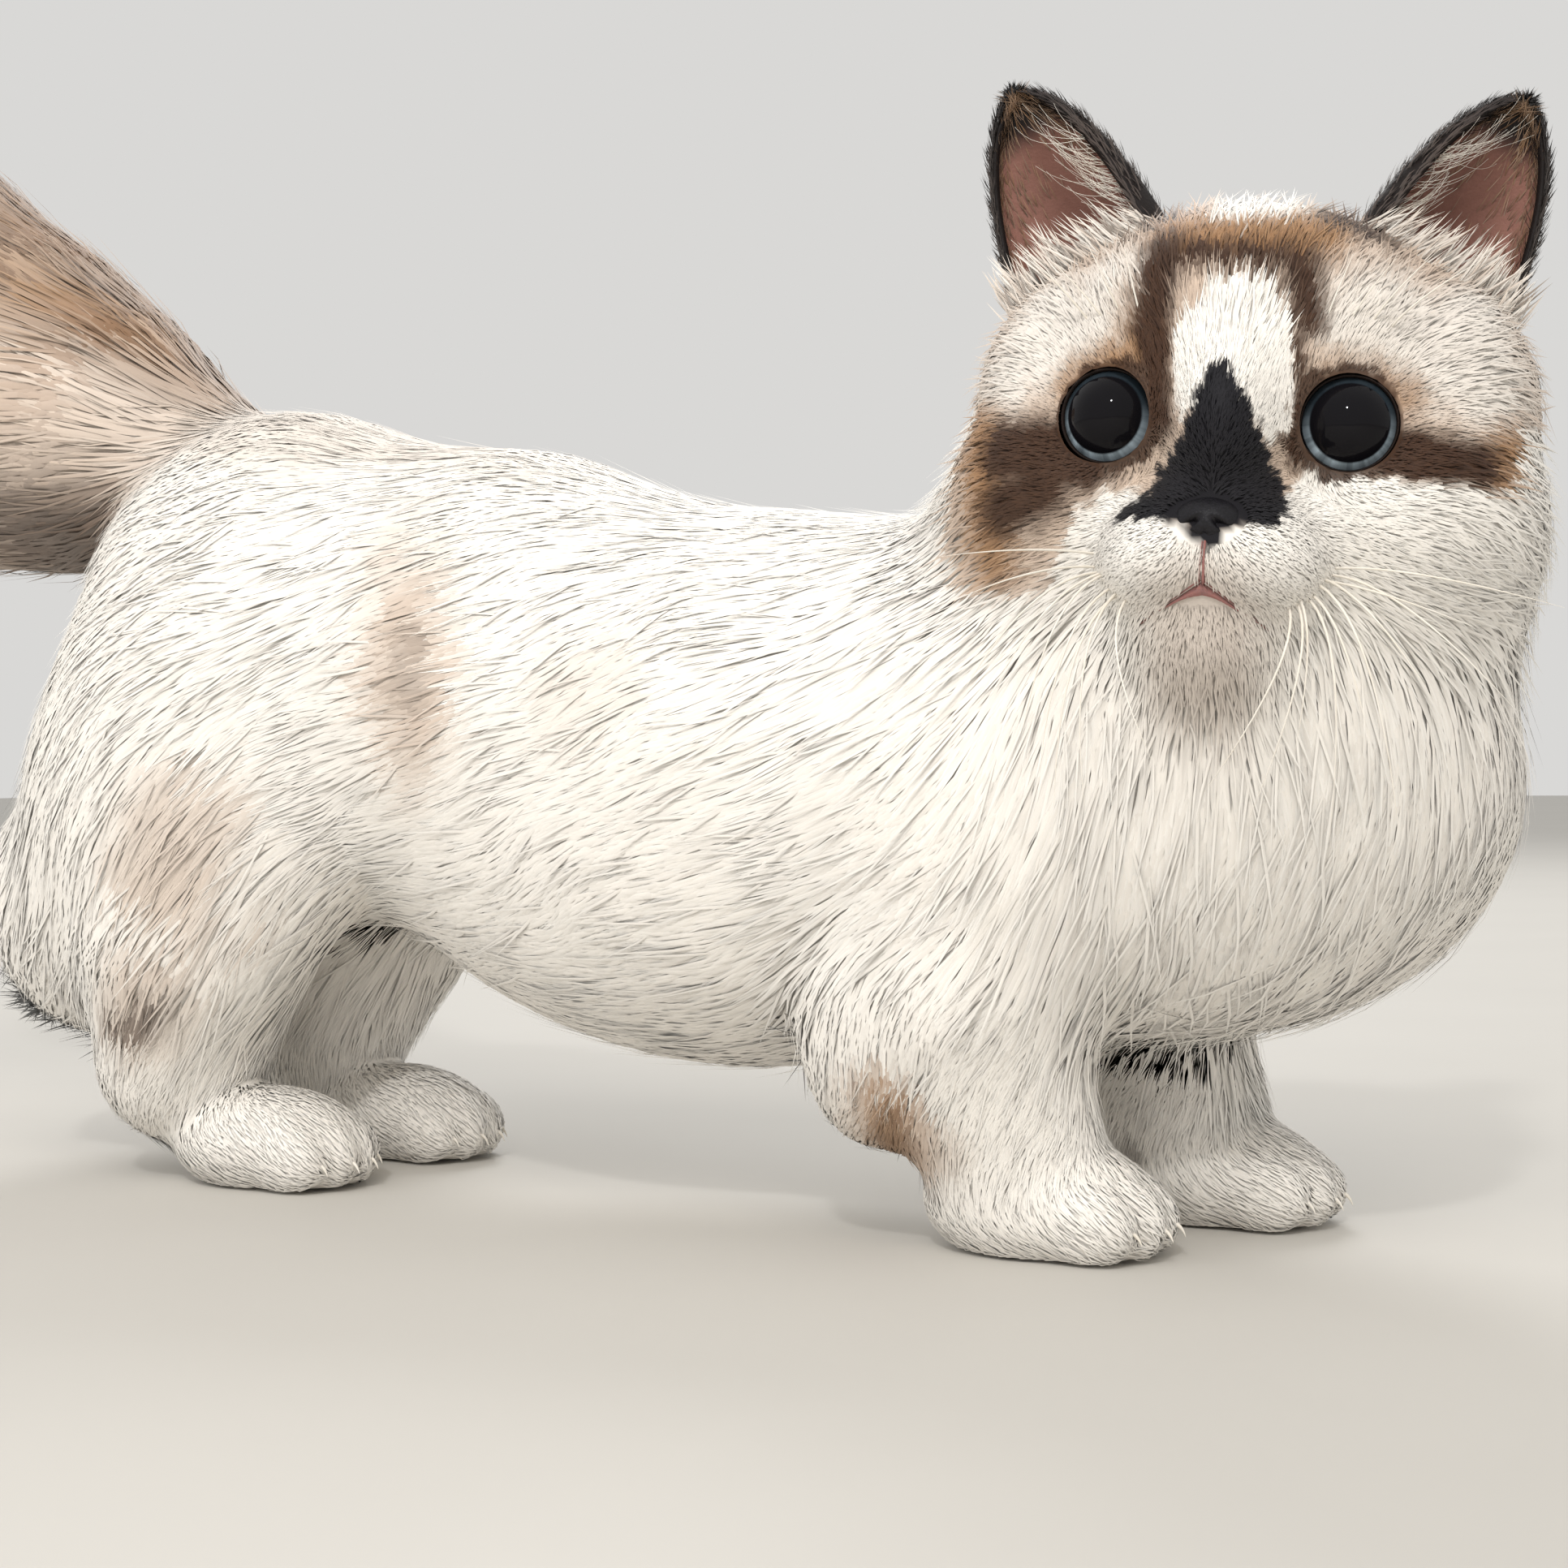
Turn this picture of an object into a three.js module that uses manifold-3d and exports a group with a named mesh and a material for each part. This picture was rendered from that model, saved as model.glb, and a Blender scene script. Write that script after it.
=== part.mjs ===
// A long-coated munchkin cat, life size, standing with its head turned to its right.
// Millimetres, +Z up, +X towards the head end, +Y towards the cat's left side.
import * as THREE from 'three';
import { mergeVertices } from 'three/addons/utils/BufferGeometryUtils.js';
import Module from 'manifold-3d';

const wasm = await Module();
wasm.setup();

// The gap between neighbouring nodes
const GAP = 0.3;

// Driving dimensions of the trunk, measured out to the tips of the coat
const RUMP = { at: [-118, 0, 126], size: [58, 55, 63] };
const LOIN = { at: [-58, 0, 118], size: [66, 54, 58] };
const RIBS = { at: [12, 0, 100], size: [78, 58, 58] };
const SHOULDERS = { at: [74, 0, 100], size: [58, 58, 50] };
const BREAST = { at: [113, 2, 93], size: [68, 57, 50] };
const BELLY = { at: [8, 0, 74], size: [78, 45, 40] };
const TRUNK_BLEND = 22;
const TRUNK_AXIS = [[-146, 0, 124], [-60, 0, 116], [15, 0, 98], [75, 0, 96], [148, 2, 90]];

// The neck leans from the shoulders towards the turned head
const NAPE = { at: [102, -4, 124], size: [42, 42, 34] };
const THROAT = { at: [130, -14, 116], size: [46, 46, 34] };
const NECK_AXIS = [[112, -8, 112], [128, -18, 134]];
const NECK_FOOT = { normal: [0.56, 0.2, 0.804], offset: 146 };

// The head has its own frame: forward, left and up from the middle of the skull
const HEAD_AT = [134, -22, 160];
const HEAD_TURN = -78.5;
const HEAD_ROLL = 4.5;
const SKULL = { at: [-4, 0, 10], size: [46, 45, 40] };
const BROW = { at: [17, 0, 20], size: [24, 31, 22] };
const TEMPLE = { at: [-4, 31, 10], size: [30, 24, 26] };
const CHEEK = { at: [2, 26, -12], size: [37, 32.5, 29] };
const BRIDGE = { at: [33, 0, 0], size: [19, 11, 19] };
const MUZZLE = { at: [35, 0, -22], size: [19, 20, 14] };
const WHISKER_PAD = { at: [42, 8.2, -24], size: [12.5, 11, 9] };
const CHIN = { at: [37, 0, -37], size: [13, 12, 10] };
const HEAD_BLEND = 7;
const HEAD_CENTRE = [4, 0, -6];
const HEAD_FOOT = { normal: [0.57, 0, 0.822], offset: -24 };

const EYE = { at: [29, 21.2, 3], radius: 10.4, opening: [10.5, 7.9], turn: 9 };
const ORBIT = { at: [20, 21, 3], size: [16, 15, 14] };
const LID_THICKNESS = 1.5;
const NOSE = { at: [50.5, 0, -17.6], size: [5.5, 7, 5.2] };
const NOSTRIL = { at: [55.2, 3.4, -18.4], size: [2.6, 1.5, 1.2] };
const PHILTRUM_FOOT = [54, 0, -28];
const MOUTH_CORNER = [44, 10.4, -35];
const LIP_RADIUS = 1.2;
const MOUTH_GROOVE = 0.7;
const EAR = { width: 20, depth: 12.5, rim: 1.3, sunk: 10, taper: 0.3 };
const EARS = {
  left: { root: [-6, 32, 36], tip: [-12, 49, 75], facing: [0.9, 0.42, 0] },
  right: { root: [-6, -34.5, 36], tip: [-12, -56.5, 77.5], facing: [0.97, -0.22, 0] },
};

// Legs: every height is above the floor, y is mirrored for the left side
const FORE = {
  shoulder: { at: [80, 36, 86], size: [33, 26, 46] },
  elbow: { at: [76, 33, 50], radius: 25 },
  wrist: { at: [84, 27, 24], radius: 19 },
  paw: { at: [90, 25, 10], size: [25, 17.5, 14] },
};
const HIND = {
  thigh: { at: [-126, 33, 92], size: [49, 28, 52] },
  breeches: { at: [-164, 22, 68], size: [35, 24, 34] },
  knee: { at: [-128, 31, 54], radius: 26 },
  hock: { at: [-136, 27, 30], radius: 21 },
  paw: { at: [-111, 25, 10], size: [26, 17.5, 13.5] },
};
// The thigh's node is the part of the trunk inside this egg, and its breeches have a smaller core
const THIGH_PART = { at: [-130, 42, 84], size: [42, 30, 50] };
const BREECHES_CORE = { at: [-156, 22, 74], size: [32, 22, 33] };

// How far the left legs stand ahead of the right ones, and the toes of every paw
const FORE_STEP_LEFT = 20;
const HIND_STEP_LEFT = 2;
const TOE_RADIUS = 8.2;
const TOE_SPREAD = [-10.5, -3.6, 3.6, 10.5];
const TOE_REACH = [15, 19, 19, 15];
const TOE_HEIGHT = 7.6;
const LEG_BLEND = 12;

// The tail rises behind the rump and curves up to its tip
const TAIL_AXIS = [
  [-134, 0, 164], [-163, 0, 179], [-195, 0, 191], [-226, 0, 203],
  [-256, 0, 221], [-279, 0, 247], [-290, 0, 278],
];
const TAIL_RADII = [17, 26, 38, 47, 49, 42, 22];
const TAIL_STEPS = 32;
const TAIL_JOINS = [0.36, 0.68];

// The coat: how far each core lies inside the tips, and the locks that fill the rest
const CORE_INSET = { trunk: 6, neck: 7, head: 3, upperLeg: 2.5, foot: 0.5, tail: 0.5 };
const TAIL_BONE = 9;
const LOCK = { steps: 3, sink: 3, seed: 11, jitter: 0.3, rise: 0.6, edge: 10 };
const COAT_LOCKS = {
  trunk: { tiers: 7, spacing: 46, width: 44, length: 60, thick: 3.6, lift: 1.5 },
  ruff: { around: 10, width: 34, length: 44, thick: 3.6, lift: 2 },
  head: { width: 11, length: 24, thick: 2.2, lift: 4 },
  leg: { tiers: 2, spacing: 18, width: 17, length: 27, thick: 3, lift: 1 },
  tail: { tiers: 7, spacing: 38, width: 36, length: 52, thick: 3.6, lift: 1.5 },
};
const RUFF_ROWS = [2, 14];
const WHISKERS = {
  eachSide: 7, fan: [-6, -108], length: 48, radius: 0.55, sides: 4, steps: 5, sunk: 3, droop: 1.5,
  pad: [40, 9, -25], rise: 7,
};
const CHEEK_ROWS = [{ x: 12, z: [-6, -20] }, { x: -6, z: [6, -8, -22] }];
const RUMP_LEANS = [-38];
const ELBOW_FRINGE = { at: [58, 38, 44], size: [15, 12, 22] };
const BELLY_HANG = 3;
const LOWEST_TIP = 4;
const LOCK_GROW = GAP * 1.3;
const MEETING = 0.01;

// Colours of the coat and the bare parts
const WHITE_COAT = 0xf1efea;
const CREAM_COAT = 0xd9c6ac;
const TAN_COAT = 0xc2a488;
const EAR_BROWN = 0x5a4038;
const NOSE_BLACK = 0x15141a;
const EYE_DARK = 0x1a2430;

const vec = (a) => new THREE.Vector3(a[0], a[1], a[2]);

// Distance fields: negative inside, zero on the surface
function egg(spec) {
  const [cx, cy, cz] = spec.at;
  const [rx, ry, rz] = spec.size;
  return (p) => {
    const x = p.x - cx;
    const y = p.y - cy;
    const z = p.z - cz;
    const k0 = Math.hypot(x / rx, y / ry, z / rz);
    const k1 = Math.hypot(x / (rx * rx), y / (ry * ry), z / (rz * rz));
    return k1 < 1e-9 ? -Math.min(rx, ry, rz) : (k0 * (k0 - 1)) / k1;
  };
}

function limb(from, to) {
  const a = vec(from.at);
  const ab = vec(to.at).sub(a);
  return (p) => {
    const ap = p.clone().sub(a);
    const t = THREE.MathUtils.clamp(ap.dot(ab) / ab.lengthSq(), 0, 1);
    return ap.addScaledVector(ab, -t).length() - THREE.MathUtils.lerp(from.radius, to.radius, t);
  };
}

function softMin(a, b, k) {
  const h = Math.max(k - Math.abs(a - b), 0) / k;
  return Math.min(a, b) - h * h * k * 0.25;
}

function blend(k, fields) {
  return (p) => fields.map((f) => f(p)).reduce((a, b) => softMin(a, b, k));
}

const mirrored = (spec) => ({ ...spec, at: [spec.at[0], -spec.at[1], spec.at[2]] });

function moved(spec, dx) {
  return { ...spec, at: [spec.at[0] + dx, spec.at[1], spec.at[2]] };
}

// Shared corners become one, and triangles that this closes up are dropped
function welded(geometry) {
  if (geometry.userData.welded) return geometry;
  const bare = geometry.clone();
  bare.deleteAttribute('normal');
  bare.deleteAttribute('uv');
  const merged = mergeVertices(bare, 1e-4);
  const index = merged.index.array;
  const triangles = [];
  for (let i = 0; i < index.length; i += 3) {
    const [a, b, c] = [index[i], index[i + 1], index[i + 2]];
    if (a !== b && b !== c && c !== a) triangles.push(a, b, c);
  }
  merged.setIndex(triangles);
  merged.userData.welded = true;
  return merged;
}

const HALVINGS = 14;

// The first place on the ray where the field passes the level
function reach(field, origin, direction, level) {
  const p = new THREE.Vector3();
  const at = (r) => field(p.copy(origin).addScaledVector(direction, r)) - level;
  const step = 2;
  let high = step;
  while (at(high) < 0 && high < 400) high += step;
  let low = high - step;
  for (let i = 0; i < HALVINGS; i += 1) {
    const middle = (low + high) / 2;
    if (at(middle) < 0) low = middle;
    else high = middle;
  }
  return low;
}

// A capsule's grid drawn out from a curved axis to the surface of a field
function sleeve(axis, field, level, { rings, sides, caps }) {
  const geometry = welded(new THREE.CapsuleGeometry(1, 1, caps, sides, rings));
  const position = geometry.attributes.position;
  for (let i = 0; i < position.count; i += 1) {
    const v = new THREE.Vector3().fromBufferAttribute(position, i);
    const along = THREE.MathUtils.clamp(v.y, -0.5, 0.5);
    const origin = axis.getPointAt(along + 0.5);
    const tangent = axis.getTangentAt(along + 0.5);
    const side = new THREE.Vector3(0, 1, 0).cross(tangent).normalize();
    const across = tangent.clone().cross(side);
    const direction = side.multiplyScalar(v.x).addScaledVector(across, v.z);
    direction.addScaledVector(tangent, v.y - along).normalize();
    const r = reach(field, origin, direction, level);
    position.setXYZ(i, ...origin.addScaledVector(direction, r).toArray());
  }
  return solid(geometry);
}

const UP_OF_GRID = new THREE.Vector3(0, 1, 0);

// A globe's grid drawn out from one centre, its poles along the given direction
function globe(centre, pole, field, level, { around, rings }) {
  const geometry = welded(new THREE.SphereGeometry(1, around, rings));
  const turn = new THREE.Quaternion().setFromUnitVectors(UP_OF_GRID, pole);
  const position = geometry.attributes.position;
  for (let i = 0; i < position.count; i += 1) {
    const direction = new THREE.Vector3().fromBufferAttribute(position, i).applyQuaternion(turn);
    const r = reach(field, centre, direction, level);
    position.setXYZ(i, ...centre.clone().addScaledVector(direction, r).toArray());
  }
  return solid(geometry);
}

// A closed geometry as a solid that can be joined and cut
function solid(geometry) {
  const closed = welded(geometry);
  const vertProperties = new Float32Array(closed.attributes.position.array);
  const triVerts = new Uint32Array(closed.index.array);
  const made = new wasm.Manifold(new wasm.Mesh({ numProp: 3, vertProperties, triVerts }));
  if (made.volume() > 0) return made;
  const turnedOut = triVerts.toReversed();
  return new wasm.Manifold(new wasm.Mesh({ numProp: 3, vertProperties, triVerts: turnedOut }));
}

const joined = (list) => wasm.Manifold.union(list);

function largest(body) {
  return body.decompose().reduce((a, b) => (b.volume() > a.volume() ? b : a));
}

// An egg-shaped solid, with its own grid
function ball(spec, around = 16, rings = 12) {
  const geometry = new THREE.SphereGeometry(1, around, rings);
  geometry.scale(...spec.size);
  geometry.translate(...spec.at);
  return solid(geometry);
}

// A tube of a few sides along a curve
function tube(points, radius, steps, sides = 6) {
  const ring = new THREE.Shape(
    Array.from({ length: sides }, (_, i) => {
      const a = (i / sides) * Math.PI * 2;
      return new THREE.Vector2(Math.cos(a) * radius, Math.sin(a) * radius);
    }),
  );
  const path = new THREE.CatmullRomCurve3(points);
  return solid(new THREE.ExtrudeGeometry(ring, { steps, extrudePath: path, bevelEnabled: false }));
}

// Trunk, with the foot of the neck
const trunkAxis = new THREE.CatmullRomCurve3(TRUNK_AXIS.map(vec));
const trunkForms = [RUMP, LOIN, RIBS, SHOULDERS, BREAST, BELLY, NAPE, THROAT];
const shoulderField = blend(TRUNK_BLEND, trunkForms.map(egg));
const upperLegs = [
  [FORE.shoulder, FORE_STEP_LEFT], [HIND.thigh, HIND_STEP_LEFT], [BREECHES_CORE, HIND_STEP_LEFT],
].flatMap(([spec, step]) => [moved(spec, 0.3 * step), mirrored(spec)]);
const trunkField = blend(LEG_BLEND, [shoulderField, ...upperLegs.map(egg)]);
const trunkCore = (p) => trunkField(p) + CORE_INSET.trunk;
const makeTrunk = (grow) => sleeve(trunkAxis, trunkCore, grow, { rings: 10, sides: 16, caps: 3 });

// Head, made in its own frame and set in place at the end
const headFrame = new THREE.Group();
headFrame.position.set(...HEAD_AT);
headFrame.rotation.order = 'ZYX';
headFrame.rotation.z = THREE.MathUtils.degToRad(HEAD_TURN);
headFrame.rotation.x = THREE.MathUtils.degToRad(-HEAD_ROLL);
headFrame.updateMatrixWorld();

const headForms = [
  SKULL, BROW, TEMPLE, mirrored(TEMPLE), CHEEK, mirrored(CHEEK),
  BRIDGE, MUZZLE, WHISKER_PAD, mirrored(WHISKER_PAD), CHIN, ORBIT, mirrored(ORBIT),
];
const headField = blend(HEAD_BLEND, headForms.map(egg));
const FORWARD = new THREE.Vector3(1, 0, 0);
const headInset = (p) => CORE_INSET.head * THREE.MathUtils.smoothstep(24 - p.x, 0, 22);
const headCore = (p) => headField(p) + headInset(p);
const makeHead = (grow) => globe(vec(HEAD_CENTRE), FORWARD, headCore, grow, { around: 26, rings: 20 });

// Neck: the shoulders and the head flow into it, and a plane parts it from each
const toHead = headFrame.matrixWorld.clone().invert();
const headInPlace = (p) => headField(p.clone().applyMatrix4(toHead));
const neckField = (p) => softMin(trunkField(p), headInPlace(p), TRUNK_BLEND);
const neckAxis = new THREE.CatmullRomCurve3(NECK_AXIS.map(vec));
const belowHead = (p) => HEAD_FOOT.offset - vec(HEAD_FOOT.normal).dot(p.clone().applyMatrix4(toHead));
function neckCore(p) {
  const share = THREE.MathUtils.smoothstep(belowHead(p), 0, 24);
  return neckField(p) + THREE.MathUtils.lerp(CORE_INSET.head, CORE_INSET.neck, share);
}
const makeNeck = (grow) => sleeve(neckAxis, neckCore, grow, { rings: 3, sides: 16, caps: 4 });

function eyeBall(side, grow) {
  const at = [EYE.at[0], side * EYE.at[1], EYE.at[2]];
  const r = EYE.radius + grow;
  return ball({ at, size: [r, r, r] }, 14, 8);
}

// The round window between the lids
function eyeWindow(side) {
  const geometry = new THREE.CylinderGeometry(...EYE.opening, 16, 16);
  geometry.rotateZ(-Math.PI / 2);
  geometry.translate(10, 0, 0);
  geometry.rotateZ(THREE.MathUtils.degToRad(side * EYE.turn));
  geometry.translate(EYE.at[0], side * EYE.at[1], EYE.at[2]);
  return solid(geometry);
}

// The ear's outline: a rounded leaf that leans out, with a cup cut into its front
function earLeaf(ear, inset, forward) {
  const root = vec(ear.root);
  const tip = vec(ear.tip);
  const up = tip.clone().sub(root).normalize();
  const height = tip.distanceTo(root) - inset * 1.6;
  const front = vec(ear.facing);
  front.addScaledVector(up, -front.dot(up)).normalize();
  const across = up.clone().cross(front);
  const geometry = welded(new THREE.ConeGeometry(1, 1, 12, 7));
  const position = geometry.attributes.position;
  for (let i = 0; i < position.count; i += 1) {
    const s = position.getY(i) + 0.5;
    const edge = Math.hypot(position.getX(i), position.getZ(i)) > 1e-6 ? 1 : 0;
    const angle = Math.atan2(position.getX(i), position.getZ(i));
    const narrow = Math.sqrt(Math.max(1 - s ** 2.4, 0)) * (1 - EAR.taper * s);
    const w = Math.max(EAR.width * narrow - inset, 0) * edge;
    const d = Math.max(EAR.depth * narrow * (1 - 0.35 * s) - inset, 0) * edge;
    const p = root.clone().addScaledVector(up, s * (height + EAR.sunk) - EAR.sunk + inset * 2);
    p.addScaledVector(across, Math.sin(angle) * w);
    p.addScaledVector(front, Math.cos(angle) * d + forward);
    position.setXYZ(i, p.x, p.y, p.z);
  }
  return solid(geometry);
}

function makeEar(ear) {
  return earLeaf(ear, 0, 0).subtract(earLeaf(ear, EAR.rim, EAR.depth * 0.42));
}

function makeNose(grow) {
  const size = NOSE.size.map((r) => r + grow);
  return ball({ at: NOSE.at, size }, 10, 8);
}

// The mouth: a groove down from the nose and out to both corners, between two soft lips
function mouthPoints(side, lift) {
  const corner = vec([MOUTH_CORNER[0], side * MOUTH_CORNER[1], MOUTH_CORNER[2]]);
  const foot = vec(PHILTRUM_FOOT);
  return [0, 0.35, 0.7, 1].map((s) => {
    const p = foot.clone().lerp(corner, s);
    const out = p.clone().sub(vec(HEAD_CENTRE)).normalize();
    const r = reach(headField, vec(HEAD_CENTRE), out, 0);
    return vec(HEAD_CENTRE).addScaledVector(out, r + lift);
  });
}

function mouthTube(side, radius, lift) {
  return tube(mouthPoints(side, lift), radius, 7, 5);
}

function philtrum(radius) {
  const points = [0, 0.5, 1].map((s) => {
    const p = vec([NOSE.at[0], 0, NOSE.at[2] - NOSE.size[2] + 1]).lerp(vec(PHILTRUM_FOOT), s);
    const out = p.sub(vec(HEAD_CENTRE)).normalize();
    return vec(HEAD_CENTRE).addScaledVector(out, reach(headField, vec(HEAD_CENTRE), out, 0));
  });
  return tube(points, radius, 4, 5);
}

// Legs
function foreLeg(side, step) {
  const place = (spec, share) => moved(side > 0 ? spec : mirrored(spec), side > 0 ? step * share : 0);
  return {
    elbow: place(FORE.elbow, 0.6),
    wrist: place(FORE.wrist, 0.9),
    paw: place(FORE.paw, 1),
  };
}

function hindLeg(side, step) {
  const place = (spec, share) => moved(side > 0 ? spec : mirrored(spec), side > 0 ? step * share : 0);
  return {
    part: place(THIGH_PART, 0.3),
    breeches: place(HIND.breeches, 0.3),
    knee: place(HIND.knee, 0.6),
    hock: place(HIND.hock, 0.9),
    paw: place(HIND.paw, 1),
  };
}

const foreField = (leg) => limb(leg.elbow, leg.wrist);
const hindField = (leg) => limb(leg.knee, leg.hock);

function pawField(paw) {
  const [x, y] = paw.at;
  const toes = TOE_SPREAD.map((dy, i) => egg({
    at: [x + TOE_REACH[i], y + dy, TOE_HEIGHT],
    size: [TOE_RADIUS * 1.15, TOE_RADIUS * 0.72, TOE_RADIUS],
  }));
  return blend(3, [egg(paw), ...toes]);
}

const shankAxis = (from, to) => new THREE.LineCurve3(vec(from.at), vec(to.at));

function shankCore(from, to) {
  const upper = { ...from, radius: from.radius - CORE_INSET.upperLeg };
  const lower = { ...to, radius: to.radius - CORE_INSET.foot };
  return limb(upper, lower);
}

function makeShank(from, to, grow) {
  return sleeve(shankAxis(from, to), shankCore(from, to), grow, { rings: 2, sides: 10, caps: 3 });
}

function makePaw(paw, grow) {
  const centre = vec([paw.at[0] + 2, paw.at[1], TOE_HEIGHT]);
  return globe(centre, FORWARD, pawField(paw), grow, { around: 16, rings: 9 }).trimByPlane([0, 0, 1], 0);
}

// Tail
const tailAxis = new THREE.CatmullRomCurve3(TAIL_AXIS.map(vec));

function tailRadius(t) {
  const place = THREE.MathUtils.clamp(t, 0, 1) * (TAIL_RADII.length - 1);
  const i = Math.min(Math.floor(place), TAIL_RADII.length - 2);
  const f = place - i;
  return THREE.MathUtils.lerp(TAIL_RADII[i], TAIL_RADII[i + 1], f * f * (3 - 2 * f));
}

const tailSamples = Array.from({ length: TAIL_STEPS + 1 }, (_, i) => tailAxis.getPointAt(i / TAIL_STEPS));
const tailThick = (radius) => (p) => (
  Math.min(...tailSamples.map((q, i) => q.distanceTo(p) - radius(i / TAIL_STEPS)))
);
const tailField = tailThick(tailRadius);
const tailCore = tailThick((t) => THREE.MathUtils.lerp(tailRadius(t), TAIL_BONE, CORE_INSET.tail));
const makeTail = (grow) => sleeve(tailAxis, tailCore, grow, { rings: 8, sides: 9, caps: 3 });

// The length of the tail between two shares of its axis, cut square to the axis
function tailLength(tail, from, to) {
  let part = tail;
  if (from !== null) {
    const n = tailAxis.getTangentAt(from);
    part = part.trimByPlane(n.toArray(), n.dot(tailAxis.getPointAt(from)) + GAP / 2);
  }
  if (to !== null) {
    const n = tailAxis.getTangentAt(to).negate();
    part = part.trimByPlane(n.toArray(), n.dot(tailAxis.getPointAt(to)) + GAP / 2);
  }
  return part;
}

// A solid in the head's frame, set in place
const inPlace = (body) => body.transform(headFrame.matrixWorld.elements);

// Both pairs of legs
const SIDES = { left: 1, right: -1 };
const fore = { left: foreLeg(1, FORE_STEP_LEFT), right: foreLeg(-1, 0) };
const hind = { left: hindLeg(1, HIND_STEP_LEFT), right: hindLeg(-1, 0) };

// The surface that the tips of the coat reach, the tail's apart
const elbowFringe = {
  left: moved(ELBOW_FRINGE, FORE_STEP_LEFT * 0.6),
  right: mirrored(ELBOW_FRINGE),
};
const coatField = blend(LEG_BLEND, [
  neckField,
  ...Object.keys(SIDES).flatMap((side) => [
    foreField(fore[side]), hindField(hind[side]), egg(hind[side].breeches), egg(elbowFringe[side]),
  ]),
]);
const thighPart = Object.fromEntries(Object.keys(SIDES).map((side) => [side, egg(hind[side].part)]));

// Seeded draws, so that every run gives the same coat
let drawn = LOCK.seed;
function draw() {
  drawn = (drawn * 1664525 + 1013904223) % 4294967296;
  return drawn / 4294967296;
}
const varied = (size, share) => size * (1 + share * (2 * draw() - 1));

function slope(field, p) {
  const h = 0.5;
  const n = new THREE.Vector3();
  for (const axis of ['x', 'y', 'z']) {
    const q = p.clone();
    q[axis] += h;
    const ahead = field(q);
    q[axis] -= 2 * h;
    n[axis] = ahead - field(q);
  }
  return n.normalize();
}

// The path of one lock: it leaves the core, bends with the body and ends at the tips of the coat
function lockPath({ root, field, flow, length, sink, lift, lowest = LOWEST_TIP }) {
  const p = root.clone();
  const start = field(p);
  const path = [];
  for (let k = 0; k <= LOCK.steps; k += 1) {
    const s = k / LOCK.steps;
    const level = THREE.MathUtils.lerp(start, lift, s ** LOCK.rise) - sink * (1 - s) ** 2;
    for (let i = 0; i < 3; i += 1) p.addScaledVector(slope(field, p), level - field(p));
    p.z = Math.max(p.z, lowest);
    const normal = slope(field, p);
    path.push({ at: p.clone(), normal });
    const run = flow(p).clone();
    run.addScaledVector(normal, -run.dot(normal)).normalize();
    p.addScaledVector(run, length / LOCK.steps);
  }
  return path;
}

// A flat blade along a path: a cone's grid of three sides, pressed flat and turned along the way
function bladeGeometry({ path, width, thick }, grow) {
  const geometry = welded(new THREE.ConeGeometry(1, 1, 3, LOCK.steps));
  const position = geometry.attributes.position;
  const rings = [];
  for (let i = 0; i < position.count; i += 1) {
    const s = position.getY(i) + 0.5;
    const k = Math.round(s * LOCK.steps);
    const here = path[k];
    const before = path[Math.max(k - 1, 0)].at;
    const after = path[Math.min(k + 1, LOCK.steps)].at;
    const tangent = after.clone().sub(before).normalize();
    const across = tangent.clone().cross(here.normal).normalize();
    const up = across.clone().cross(tangent);
    const share = Math.sin(Math.PI * (0.25 + 0.75 * s)) ** 0.7;
    const turn = Math.atan2(position.getX(i), position.getZ(i));
    const onRim = Math.hypot(position.getX(i), position.getZ(i)) > 1e-6;
    const p = here.at.clone();
    if (k === LOCK.steps) {
      p.addScaledVector(tangent, 3 * grow);
    } else if (onRim) {
      p.addScaledVector(across, Math.sin(turn) * (width * 0.58 * share + LOCK.edge * grow));
      p.addScaledVector(up, Math.cos(turn) * (thick * 0.67 * share + 2 * grow));
    }
    position.setXYZ(i, p.x, p.y, p.z);
    rings.push(k);
  }
  return { geometry, rings };
}

const blade = (lock, grow) => solid(bladeGeometry(lock, grow).geometry);

// Where the path turns too sharply the blade folds, and a face of it looks towards its own middle
function foldsOver(lock) {
  const { geometry, rings } = bladeGeometry(lock, LOCK_GROW);
  const corner = (i) => new THREE.Vector3().fromBufferAttribute(geometry.attributes.position, i);
  const index = geometry.index.array;
  const facings = [];
  for (let t = 0; t < index.length; t += 3) {
    const corners = [index[t], index[t + 1], index[t + 2]];
    const onBase = corners.every((i) => rings[i] === 0);
    const middle = new THREE.Vector3();
    for (const i of corners) middle.addScaledVector(lock.path[rings[i]].at, 1 / 3);
    const face = new THREE.Triangle(...corners.map(corner));
    const outward = face.getMidpoint(new THREE.Vector3()).sub(middle);
    if (!onBase) facings.push(Math.sign(face.getNormal(new THREE.Vector3()).dot(outward)));
  }
  return new Set(facings).size > 1;
}

// Roots in rings round an axis, each ring's set half a width off the last; leaning rings lie on its ends
function evenRings(count, from, to) {
  const place = (row) => THREE.MathUtils.lerp(from, to, (row + 0.5) / count);
  return Array.from({ length: count }, (_, row) => ({ t: place(row), lean: 0 }));
}

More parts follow.
